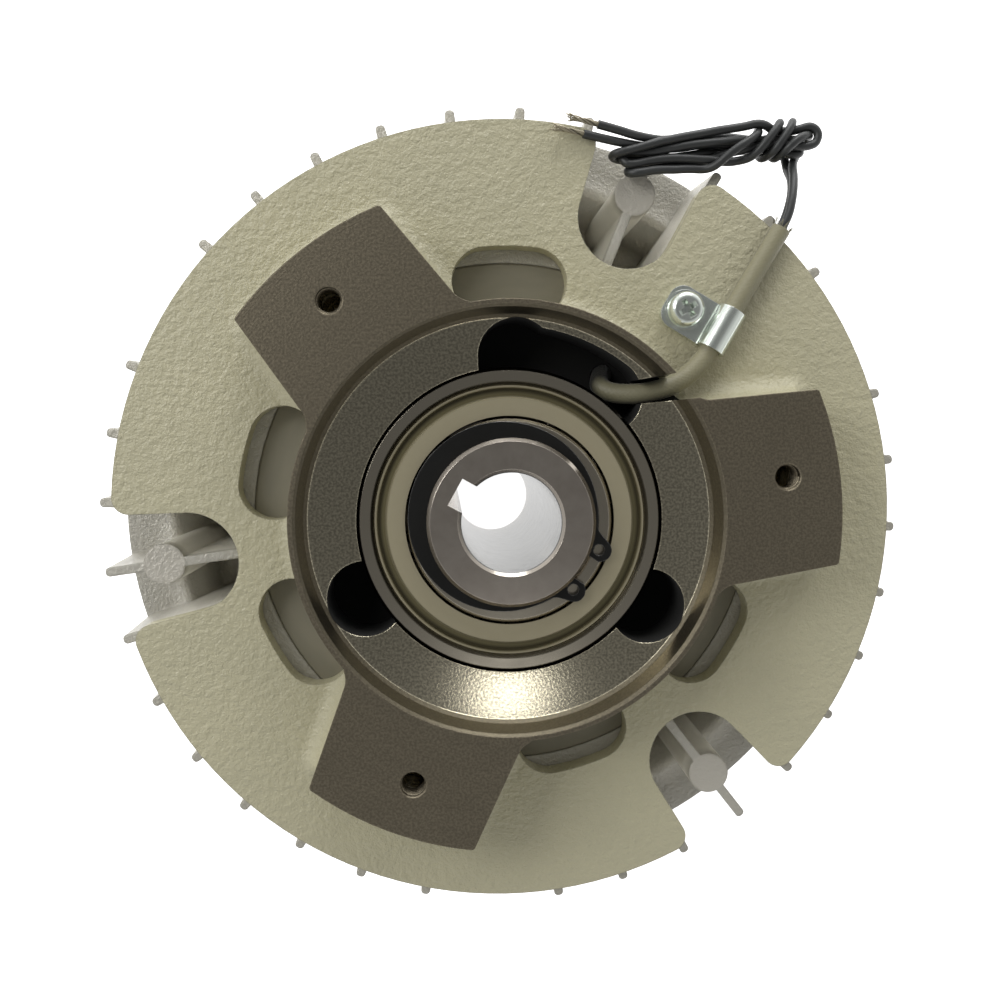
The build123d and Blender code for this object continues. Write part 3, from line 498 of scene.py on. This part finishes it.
# Painted shade on the bore and the chamfers.
for inner, outer, color in SHAFT_PAINTED_SHADES:
    tint(shaft_steel, inner * MM, outer * MM, color)
wear_it("rotor_drum", turned_finish("turned_rotor_iron", [(0.5, 0.48, 0.46), (0.4, 0.385, 0.37)],
                                    (0.3, 0.42)))
shaft = turned_piece([(r * MM, z * MM) for r, z in SHAFT])
cut_away(shaft, block(KEYWAY_TOP, KEYWAY_W, KEYWAY_L, KEYWAY_TURN, KEYWAY_TOP / 2, SHAFT_MIDDLE))
bpy.ops.object.shade_smooth_by_angle(angle=math.radians(20))
settle(shaft, "keyed_shaft", shaft_steel, body="rotor")
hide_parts("hollow_shaft")

# The circlips. Stamped from black spring steel, thickest behind and thinner towards the two
# eyes for the pliers, and snapped into the shaft's grooves to hold the bearings' inner rings.

CLIP_INSIDE, CLIP_OUTSIDE, CLIP_OFFSET = 16.5, 19.2, 1.7
CLIP_GAP_TURN, CLIP_GAP, CLIP_ROUND = math.radians(-32.8), 5.4, 0.25
EYE_AT, EYE_SWING, EYE_HOLE, EYE_REACH = 18.9, math.radians(14.7), 1.15, 21.5
EYE_HALF_WIDTH, EYE_SQUARENESS = 0.15, 2.6
PUNCH_L, PUNCH_AT = 10.0, 19.0


def clip_reach(lean):
    """How far the clip reaches from the axis: thickest behind, thin arms, an eye at each end."""
    ring = math.sqrt(CLIP_OUTSIDE ** 2 - (CLIP_OFFSET * math.sin(lean)) ** 2)
    ring -= CLIP_OFFSET * math.cos(lean)
    from_eye = abs((abs(lean) - EYE_SWING) / EYE_HALF_WIDTH)
    return ring + (EYE_REACH - ring) * math.exp(-from_eye ** EYE_SQUARENESS)


spring_steel = plain_finish("black_spring_steel", [(0.010, 0.010, 0.009), (0.016, 0.016, 0.015)],
                            (0.32, 0.45), 0.6, rounding=0.0003, worn=(0.25, 0.25, 0.25))
for name in ("rear_circlip", "front_circlip"):
    low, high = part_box(name)
    clip = turned_piece([(CLIP_INSIDE * MM, low[2]), (CLIP_OUTSIDE * MM, low[2]),
                         (CLIP_OUTSIDE * MM, high[2]), (CLIP_INSIDE * MM, high[2])], sides=480)
    for corner in clip.data.vertices:
        if corner.co.xy.length > (CLIP_INSIDE + 1.0) * MM:
            turn = math.atan2(corner.co.y, corner.co.x)
            lean = math.remainder(turn - CLIP_GAP_TURN, 2 * math.pi)
            reach = clip_reach(lean) * MM
            corner.co.x, corner.co.y = reach * math.cos(turn), reach * math.sin(turn)
    middle = (low[2] + high[2]) / 2
    cut_away(clip, block(PUNCH_L * MM, CLIP_GAP * MM, PUNCH_L * MM, CLIP_GAP_TURN, PUNCH_AT * MM,
                         middle))
    for side in (-1, 1):
        turn = CLIP_GAP_TURN + side * EYE_SWING
        bpy.ops.mesh.primitive_cylinder_add(
            vertices=40, radius=EYE_HOLE * MM, depth=PUNCH_L * MM,
            location=(EYE_AT * MM * math.cos(turn), EYE_AT * MM * math.sin(turn), middle))
        cut_away(clip, bpy.context.object)
    finish_shape(clip, ("BEVEL", {"width": CLIP_ROUND * MM, "segments": 3,
                                  "limit_method": "ANGLE", "angle_limit": math.radians(50)}))
    settle(clip, name + "_with_eyes", spring_steel, body="rotor")
    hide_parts(name)

# The two bearings, shielded on both sides. The rings are ground steel, the shields pressed
# from sheet with a dull olive coating.

# Painted shade: a dark ring at the outer ring's bore beside the shield, and a near black one at its
# outer chamfer by the seat.
RING_PAINTED_SHADES = [(27.6, 28.3, (0.09, 0.082, 0.06)), (30.3, 31.3, (0.02, 0.018, 0.014))]
# Painted shade: a dark olive band in the shield's groove, darkest towards its outer side.
SHIELD_PAINTED_SHADES = [(25.1, 27.0, (0.14, 0.122, 0.062), 0.4), (26.1, 26.8, (0.055, 0.047, 0.023), 0.3)]
SHIELD = [(21.3, 0.5), (24.9, 0.5), (25.15, 0.75), (25.25, 1.5), (26.7, 1.6), (26.85, 0.95),
          (27.0, 0.75), (27.4, 0.75), (27.58, 1.0), (27.58, 1.4), (27.2, 1.3), (27.0, 2.0),
          (24.9, 1.9), (24.75, 0.95), (21.3, 0.95)]

ring_steel = turned_finish("ground_bearing_steel", [(0.51, 0.465, 0.375), (0.39, 0.355, 0.285)],
                           (0.18, 0.26), lines=9000.0, depth=0.000003, rounding=0.0003)
# Painted shade on the bearing rings.
for inner, outer, color in RING_PAINTED_SHADES:
    tint(ring_steel, inner * MM, outer * MM, color)
shield_sheet = turned_finish("olive_shield_sheet", [(0.44, 0.395, 0.27), (0.37, 0.33, 0.22)],
                             (0.34, 0.46), lines=3000.0, depth=0.000006, metallic=0.6)
# Painted shade in the shields' grooves.
for inner, outer, color, edge in SHIELD_PAINTED_SHADES:
    tint(shield_sheet, inner * MM, outer * MM, color, edge * MM)
ball_steel = plain_finish("polished_ball_steel", [(0.62, 0.62, 0.62), (0.55, 0.55, 0.55)],
                          (0.08, 0.14), 1.0, depth=0.000002)
cage_sheet = plain_finish("pressed_cage_steel", [(0.46, 0.45, 0.43), (0.38, 0.37, 0.35)],
                          (0.3, 0.4), 0.9)
for end in ("rear", "front"):
    wear_it(end + "_bearing_outer_ring", ring_steel)
    wear_it(end + "_bearing_inner_ring", ring_steel)
    wear_it(end + "_bearing_balls", ball_steel)
    wear_it(end + "_bearing_cage", cage_sheet)
    low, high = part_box(end + "_bearing_outer_ring")
    for side, face, inward in (("outer", high[2], -1), ("inner", low[2], 1)):
        shield = turned_piece([(r * MM, face + inward * depth * MM) for r, depth in SHIELD])
        settle(shield, end + "_shield_" + side, shield_sheet)
        if side == "outer":
            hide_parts(end + "_bearing_shields")

# The threads of the three tapped holes in the pads, cut with a tap: one helical ridge each,
# of the casting's own iron.

THREAD_PITCH, THREAD_TURNS = 1.0 * MM, 11
THREAD_ROOT, THREAD_CREST, THREAD_HALF = 2.56 * MM, 2.16 * MM, 0.44 * MM
THREAD_START = -11.9 * MM
for k in range(3):
    bpy.ops.mesh.primitive_circle_add(vertices=3, radius=1.0 * MM)
    ridge = bpy.context.object
    corners = ((THREAD_ROOT, -THREAD_HALF), (THREAD_CREST, 0), (THREAD_ROOT, THREAD_HALF))
    for corner, (reach, rise) in zip(ridge.data.vertices, corners):
        corner.co = (reach, 0, THREAD_START + rise)
    finish_shape(ridge, ("SCREW", {"screw_offset": THREAD_PITCH, "iterations": THREAD_TURNS,
                                   "steps": 32, "use_normal_calculate": True}))
    bpy.ops.object.mode_set(mode="EDIT")
    bpy.ops.mesh.select_all(action="SELECT")
    bpy.ops.mesh.fill_holes(sides=3)
    bpy.ops.mesh.normals_make_consistent(inside=False)
    bpy.ops.object.mode_set(mode="OBJECT")
    bpy.ops.object.shade_smooth_by_angle(angle=math.radians(25))
    turn = TAP_FIRST + third * k
    ridge.location = (TAP_AT * math.cos(turn), TAP_AT * math.sin(turn), 0)
    settle(ridge, "tap_thread_" + str(k + 1), casting)

# The clip over the sleeve, its washer and its screw: bright zinc with a bluish tint. The screw
# is a pan head with a cross recess.

HEAD_R, HEAD_H, HEAD_ROUND, SHANK_R = 3.8 * MM, 2.6 * MM, 1.5 * MM, 2.0 * MM
HEAD_TAPER = 0.93
CROSS_TURNS = (33.0, 123.0)
CROSS_MOUTH = (4.4 * MM, 1.25 * MM, 0.4 * MM)
CROSS_FOOT = (2.0 * MM, 0.85 * MM, -1.9 * MM)

zinc = plain_finish("bright_zinc", [(0.83, 0.88, 0.82), (0.64, 0.685, 0.635)], (0.12, 0.22), 0.9,
                    depth=0.00001, rounding=0.0002, worn=(0.45, 0.44, 0.42))
wear_it("cable_clip", zinc)
wear_it("clip_washer", zinc)
low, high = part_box("clip_screw")
screw_x, screw_y = (low[0] + high[0]) / 2, (low[1] + high[1]) / 2
seat = high[2] - HEAD_H


def cross_blade(turn):
    """One wing pair of the cross recess, narrower and shorter towards its bottom."""
    bpy.ops.mesh.primitive_cube_add(size=1.0)
    blade = bpy.context.object
    for corner in blade.data.vertices:
        long, wide, level = CROSS_FOOT if corner.co.z < 0 else CROSS_MOUTH
        corner.co = (corner.co.x * long, corner.co.y * wide, level)
    blade.rotation_euler = (0, 0, math.radians(turn))
    blade.location = (screw_x, screw_y, seat + HEAD_H)
    return blade


bpy.ops.mesh.primitive_cylinder_add(vertices=64, radius=HEAD_R, depth=HEAD_H,
                                    location=(screw_x, screw_y, seat + HEAD_H / 2))
screw = bpy.context.object
bpy.ops.object.transform_apply(location=True)
for corner in screw.data.vertices:
    if corner.co.z > seat + HEAD_H / 2:
        corner.co.x = screw_x + (corner.co.x - screw_x) * HEAD_TAPER
        corner.co.y = screw_y + (corner.co.y - screw_y) * HEAD_TAPER
finish_shape(screw, ("BEVEL", {"width": HEAD_ROUND, "segments": 8, "limit_method": "ANGLE",
                               "angle_limit": math.radians(50)}))
for turn in CROSS_TURNS:
    cut_away(screw, cross_blade(turn))
bpy.ops.mesh.primitive_cylinder_add(vertices=32, radius=SHANK_R, depth=seat - low[2],
                                    location=(screw_x, screw_y, (seat + low[2]) / 2))
shank = bpy.context.object
finish_shape(screw, ("BOOLEAN", {"object": shank, "operation": "UNION", "solver": "EXACT"}))
bpy.data.objects.remove(shank)
settle(screw, "cross_recess_screw", zinc)
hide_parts("clip_screw")

# The braided sleeve. Beige glass fibre, woven over both leads, out of the pocket, under the
# clip and to the flange's rim, where its end is frayed.

SLEEVE = [
    (21.06, 31.22, -20.2), (19.73, 29.25, -16.49), (19.35, 27.45, -14.2), (21.6, 26.0, -12.4),
    (26.5, 25.8, -10.8), (31.0, 26.6, -10.4), (35.3, 28.2, -10.9), (39.2, 31.2, -11.6),
    (42.3, 35.1, -12.0), (46.8, 43.2, -12.0), (51.9, 51.7, -12.5), (57.0, 60.2, -12.7)]
SLEEVE_R = 2.1 * MM
BRAID_STEP = 0.16 * MM
BRAID_SIDES = 64
CARRIERS = 14
BRAID_PITCH = 13.0 * MM
BRAID_DEPTH = 0.1 * MM
YARN_FLATNESS = 0.6
YARN = [(0.172, 0.158, 0.090), (0.244, 0.228, 0.144)]
# Painted shade: between these levels the sleeve turns near black as it goes down into the pocket.
YARN_PATCH, POCKET_SHADE_ON_YARN = (0.20, 0.186, 0.113), (0.02, 0.019, 0.014)
YARN_ROUGH = (0.45, 0.62)
PAINTED_SHADE_LEVELS = (-11.7 * MM, -14.0 * MM)
HAIRS, HAIR_R = 34, 0.07 * MM


def route(name, points, radius=0.0):
    """A curve of one NURBS spline with these millimetre points as its control points."""
    data = bpy.data.curves.new(name, "CURVE")
    data.dimensions = "3D"
    spline = data.splines.new("NURBS")
    spline.points.add(len(points) - 1)
    for knot, (x, y, z) in zip(spline.points, points):
        knot.co = (x * MM, y * MM, z * MM, 1)
    spline.order_u = 3
    spline.use_endpoint_u = True
    spline.resolution_u = 8
    data.bevel_depth = radius
    data.bevel_resolution = 5
    data.use_fill_caps = radius > 0
    cord = bpy.data.objects.new(name, data)
    scene.collection.objects.link(cord)
    return cord


def line_of(points, step):
    """Points along a route's spline, this far apart, with the spline's own direction."""
    guide = route("guide", points)
    bpy.context.view_layer.update()
    mesh = bpy.data.meshes.new_from_object(guide)
    bends = [v.co.copy() for v in mesh.vertices]
    bpy.data.objects.remove(guide)
    bpy.data.meshes.remove(mesh)
    lengths = [(b - a).length for a, b in zip(bends, bends[1:])]
    total = sum(lengths)
    count = max(2, round(total / step))
    line, reached, at = [], 0.0, 0
    for i in range(count + 1):
        want = total * i / count
        while at < len(lengths) - 1 and reached + lengths[at] < want:
            reached += lengths[at]
            at += 1
        line.append(bends[at].lerp(bends[at + 1], min(1.0, (want - reached) / lengths[at])))
    return line


def tube(name, line, sides, radius_at):
    """A closed tube along a line; radius_at gives the radius from the place and the angle."""
    points, faces = [], []
    ahead = (line[1] - line[0]).normalized()
    side = ahead.orthogonal().normalized()
    for i, spot in enumerate(line):
        ahead = (line[min(i + 1, len(line) - 1)] - line[max(i - 1, 0)]).normalized()
        side = (side - ahead * side.dot(ahead)).normalized()
        other = ahead.cross(side)
        for k in range(sides):
            turn = 2 * math.pi * k / sides
            reach = radius_at(i, turn)
            points.append(spot + side * math.cos(turn) * reach + other * math.sin(turn) * reach)
    for i in range(len(line) - 1):
        for k in range(sides):
            a, b = i * sides + k, i * sides + (k + 1) % sides
            faces.append((a, b, b + sides, a + sides))
    faces.append(tuple(reversed(range(sides))))
    faces.append(tuple(range(len(points) - sides, len(points))))
    mesh = bpy.data.meshes.new(name)
    mesh.from_pydata(points, [], faces)
    mesh.shade_smooth()
    made = bpy.data.objects.new(name, mesh)
    scene.collection.objects.link(made)
    return made


def braid_radius(i, turn):
    """Two sets of yarns that wind in opposite turns and pass over and under each other."""
    wound = i * BRAID_STEP / BRAID_PITCH
    one = CARRIERS * (turn / (2 * math.pi) + wound)
    two = CARRIERS * (turn / (2 * math.pi) - wound)
    top = one if (math.floor(one) + math.floor(two)) % 2 else two
    return SLEEVE_R - BRAID_DEPTH * (1 - abs(math.sin(math.pi * top)) ** YARN_FLATNESS)


sleeve_line = line_of(SLEEVE, BRAID_STEP)
sleeve = tube("braided_sleeve", sleeve_line, BRAID_SIDES, braid_radius)

glass_braid, tree, shader = material("beige_glass_braid")
grain = use(tree, GRAIN, Fineness=2600.0)
here = use(tree, AROUND)
yarn = blend_of(tree, grain["Height"], *YARN)
yarn = blend_of(tree, grain["Mottle"], yarn, YARN_PATCH)
# Painted shade: darker with depth towards the pocket.
yarn = blend_of(tree, fade(tree, here["Level"], *PAINTED_SHADE_LEVELS), yarn, POCKET_SHADE_ON_YARN)
tree.links.new(yarn, shader.inputs["Base Color"])
tree.links.new(level_of(tree, grain["Mottle"], *YARN_ROUGH), shader.inputs["Roughness"])
shader.inputs["Sheen Weight"].default_value = 0.15
relief(tree, shader, grain["Height"], 0.00004)
wear_it(sleeve, glass_braid)
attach(sleeve, "stator")
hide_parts("lead_sleeve")

random.seed(7)
hairs = []
end_point, end_way = sleeve_line[-1], (sleeve_line[-1] - sleeve_line[-6]).normalized()
out_way = end_way.orthogonal().normalized()
for k in range(HAIRS):
    turn = 2 * math.pi * k / HAIRS + random.uniform(-0.08, 0.08)
    outward = Matrix.Rotation(turn, 3, end_way) @ out_way
    long = random.uniform(0.7, 2.2) * MM
    lean = random.uniform(0.05, 0.55)
    root = end_point + outward * 1.85 * MM - end_way * 0.3 * MM
    swerve = end_way.cross(outward) * random.uniform(-0.3, 0.3)
    hairs.append([root + (end_way + outward * lean * t + swerve * t) * long * t
                  for t in (0.0, 0.25, 0.5, 0.75, 1.0)])


def bundle(name, lines, sides, radius):
    """Many thin strands as one piece."""
    parts = [tube(name, line, sides, lambda i, turn: radius) for line in lines]
    bpy.ops.object.select_all(action="DESELECT")
    for part in parts:
        part.select_set(True)
    bpy.context.view_layer.objects.active = parts[0]
    bpy.ops.object.join()
    bpy.ops.object.select_all(action="DESELECT")
    return parts[0]


fray = bundle("sleeve_fray", hairs, 5, HAIR_R)
wear_it(fray, glass_braid)
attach(fray, "stator")

# The two leads. Black silicone over tinned strands, wound by hand into a loose hank that lies
# on the boss and the fins; the ends are stripped and twisted.

WIRE_A = [
    (57.0, 60.2, -11.8), (58.3, 62.4, -11.8), (59.4, 66.8, -12.5), (60.3, 71.2, -14.6),
    (60.9, 74.6, -17.6), (62.4, 76.8, -20.5), (63.4, 78.3, -21.3), (64.6, 80.1, -20.8),
    (64.9, 81.0, -18.9), (64.1, 80.7, -16.9), (62.7, 80.2, -15.5), (61.1, 79.3, -14.7),
    (59.5, 77.9, -14.7), (58.3, 76.8, -15.9), (57.6, 76.2, -17.8), (57.4, 76.5, -19.8),
    (57.5, 77.6, -21.7), (57.6, 79.7, -22.0), (57.7, 81.6, -21.4), (58.0, 82.8, -19.6),
    (58.0, 83.4, -17.6), (57.5, 82.8, -15.7), (56.4, 81.2, -14.9), (55.1, 79.6, -14.8),
    (53.8, 78.0, -15.0), (52.6, 76.6, -15.8), (51.3, 75.8, -17.3), (49.4, 75.5, -18.1),
    (47.4, 75.2, -18.1), (45.4, 75.2, -17.6), (43.4, 75.5, -17.4), (41.3, 75.5, -17.4),
    (39.3, 75.6, -17.3), (37.2, 75.6, -17.2), (35.2, 75.6, -17.1), (33.2, 75.4, -17.0),
    (31.1, 75.1, -16.9), (29.1, 74.7, -16.7), (27.3, 74.1, -16.2), (25.1, 73.9, -16.1),
    (24.1, 75.6, -17.1), (25.4, 77.0, -18.1), (27.5, 76.7, -17.7), (29.5, 76.8, -17.2),
    (31.5, 77.0, -17.1), (33.5, 77.4, -17.1), (35.6, 77.8, -17.2), (37.6, 78.2, -17.2),
    (39.6, 78.5, -17.1), (41.6, 78.7, -17.0), (43.6, 78.9, -16.9), (45.7, 79.1, -17.0),
    (47.7, 79.4, -17.1), (49.7, 79.6, -17.3), (51.7, 79.7, -17.7), (53.8, 79.7, -17.9),
    (55.8, 80.0, -17.9), (57.8, 79.9, -18.1), (59.8, 79.8, -17.6), (61.9, 79.8, -17.1),
    (63.3, 80.0, -18.8), (62.4, 80.5, -20.8), (60.3, 80.5, -20.7), (58.4, 80.5, -19.8),
    (56.4, 80.7, -19.7), (54.4, 80.2, -19.6), (52.3, 80.3, -19.6), (50.3, 80.5, -19.5),
    (48.3, 80.7, -19.5), (46.2, 80.7, -19.4), (44.2, 80.7, -19.3), (42.1, 80.7, -19.2),
    (40.1, 80.6, -19.1), (38.1, 80.3, -18.9), (36.1, 80.0, -18.6), (34.1, 79.7, -18.2),
    (32.1, 79.5, -17.8), (26.9, 79.8, -16.0), (22.8, 80.5, -14.4), (18.6, 81.3, -13.7),
]
WIRE_B = [
    (57.0, 60.2, -13.6), (58.1, 62.1, -13.7), (59.9, 67.3, -14.7), (60.8, 71.5, -17.4),
    (61.0, 74.4, -21.2), (60.7, 75.7, -21.1), (60.6, 77.5, -22.1), (60.7, 79.5, -22.7),
    (61.1, 81.5, -22.4), (61.2, 82.6, -20.6), (61.0, 83.3, -18.6), (60.5, 83.5, -16.6),
    (59.7, 82.0, -15.3), (58.6, 80.3, -14.9), (57.4, 78.6, -14.8), (56.3, 77.0, -15.6),
    (55.4, 76.4, -17.4), (55.0, 76.4, -19.4), (54.9, 77.1, -21.4), (54.6, 79.0, -22.4),
    (54.2, 80.9, -21.6), (53.9, 82.2, -19.9), (53.6, 81.7, -17.9), (53.0, 80.7, -16.1),
    (51.6, 79.5, -15.2), (49.9, 78.3, -14.8), (48.1, 77.2, -14.9), (46.5, 76.0, -15.2),
    (45.0, 74.7, -15.7), (43.5, 73.7, -16.8), (41.7, 73.5, -17.7), (39.6, 73.6, -17.7),
    (37.5, 73.5, -17.5), (35.5, 73.3, -17.3), (33.5, 73.2, -17.0), (31.5, 73.0, -16.6),
    (29.5, 72.6, -16.1), (27.5, 72.1, -15.6), (25.6, 72.2, -16.7), (25.7, 73.3, -18.7),
    (27.6, 74.0, -19.4), (29.7, 74.0, -19.2), (31.7, 74.2, -19.0), (33.8, 74.3, -18.9),
    (35.9, 74.5, -18.9), (37.9, 74.7, -19.0), (39.9, 75.0, -19.1), (41.9, 75.4, -19.2),
    (43.9, 76.0, -19.2), (45.8, 76.8, -18.8), (47.7, 77.2, -18.1), (49.6, 77.5, -17.5),
    (51.6, 77.9, -17.2), (53.6, 78.2, -16.9), (55.6, 78.6, -16.8), (57.7, 78.7, -16.6),
    (59.7, 78.4, -16.5), (61.8, 78.2, -16.3), (63.8, 78.3, -16.5), (65.8, 79.1, -16.8),
    (66.2, 81.3, -16.7), (64.5, 82.7, -16.8), (62.4, 82.1, -17.1), (60.5, 81.6, -17.4),
    (58.4, 81.5, -17.2), (56.4, 81.6, -17.1), (54.6, 82.6, -16.4), (52.6, 82.8, -16.3),
    (50.6, 82.3, -16.6), (48.6, 82.0, -16.8), (46.5, 81.7, -17.0), (44.5, 81.4, -17.0),
    (42.5, 81.0, -17.1), (40.5, 80.6, -17.0), (38.5, 80.2, -16.9), (36.5, 79.8, -16.8),
    (34.5, 79.3, -16.5), (32.5, 78.8, -16.1), (30.5, 78.2, -15.9), (28.6, 77.6, -15.7),
    (26.6, 77.0, -15.5), (24.7, 76.4, -15.2), (22.6, 76.1, -15.8), (22.1, 75.9, -17.9),
    (23.7, 75.7, -19.4), (25.8, 75.6, -19.3), (27.9, 75.8, -19.3), (29.9, 76.0, -19.3),
    (32.0, 76.1, -19.2), (34.0, 76.2, -19.2), (36.1, 76.3, -19.2), (38.1, 76.6, -19.2),
    (40.2, 76.9, -19.1), (42.1, 77.3, -19.4), (44.1, 77.7, -20.1), (46.1, 77.9, -20.4),
    (48.1, 78.1, -20.6), (50.2, 78.3, -20.8), (52.2, 78.5, -20.8), (54.2, 78.7, -20.4),
    (56.3, 78.8, -20.2), (58.3, 78.7, -20.0), (60.4, 78.6, -20.5), (62.4, 78.7, -19.8),
    (63.0, 77.4, -18.1), (61.1, 76.5, -17.2), (59.3, 77.3, -17.9), (57.5, 78.2, -18.4),
    (55.5, 78.2, -18.5), (53.4, 78.1, -18.8), (51.4, 78.5, -19.0), (49.4, 78.8, -19.0),
    (47.3, 78.9, -18.9), (45.2, 79.0, -18.8), (43.2, 79.0, -18.8), (41.1, 78.9, -18.9),
    (39.1, 78.6, -19.0), (37.1, 78.3, -19.1), (35.0, 78.1, -19.0), (33.0, 78.0, -18.9),
    (30.9, 78.0, -18.7), (28.9, 78.3, -18.3), (25.0, 78.2, -16.2), (19.9, 78.5, -14.1),
    (15.6, 79.3, -13.6),
]
WIRE_A_LENGTH = 0.1791
WIRE_B_LENGTH = 0.2706
WIRE_R = 0.9 * MM
BARE_LENGTH = 7.0 * MM
STRANDS, STRAND_R, STRAND_RING = 9, 0.14 * MM, 0.42 * MM
STRAND_TWIST, STRAND_STEPS = 5.5, 24

black_silicone = plain_finish("black_silicone", [(0.025, 0.027, 0.026), (0.018, 0.019, 0.019)],
                              (0.38, 0.52), 0.0, grain_size=2400.0, depth=0.00002)
tinned = plain_finish("tinned_strands", [(0.42, 0.38, 0.28), (0.26, 0.23, 0.17)], (0.3, 0.45), 0.8,
                      grain_size=3000.0)


def bare_strands(name, points):
    """Nine twisted strands past the end of the insulation, loosening towards their tips."""
    end, before = [Vector(p) * MM for p in (points[-1], points[-2])]
    way = (end - before).normalized()
    side = way.orthogonal().normalized()
    lines = []
    for k in range(STRANDS):
        start = 2 * math.pi * k / STRANDS
        ring = STRAND_RING if k else 0.0
        loose = random.uniform(0.2, 1.1) * MM
        droop = random.uniform(-0.2, 0.5) * MM
        long = BARE_LENGTH * random.uniform(0.82, 1.0)
        line = []
        for i in range(STRAND_STEPS + 1):
            t = i / STRAND_STEPS
            turn = start + STRAND_TWIST * t
            reach = ring + loose * max(0.0, t - 0.45) ** 2
            outward = Matrix.Rotation(turn, 3, way) @ side
            line.append(end - way * 1.0 * MM + way * (long + 1.0 * MM) * t + outward * reach
                        - Vector((0, 0, droop * t * t)))
        lines.append(line)
    made = bundle(name, lines, 7, STRAND_R)
    wear_it(made, tinned)
    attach(made, "stator")
    return made


for letter, points, length in (("a", WIRE_A, WIRE_A_LENGTH), ("b", WIRE_B, WIRE_B_LENGTH)):
    wire = route("wire_" + letter, points, WIRE_R)
    wear_it(wire, black_silicone)
    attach(wire, "stator")
    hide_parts("lead_" + letter, "lead_end_" + letter,
                *(["lead_hank"] if letter == "a" else []))
    tips = bare_strands("bare_strands_" + letter, points)
    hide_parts("strands_" + letter)

# The end: the view layer is brought up to date.

bpy.context.view_layer.update()
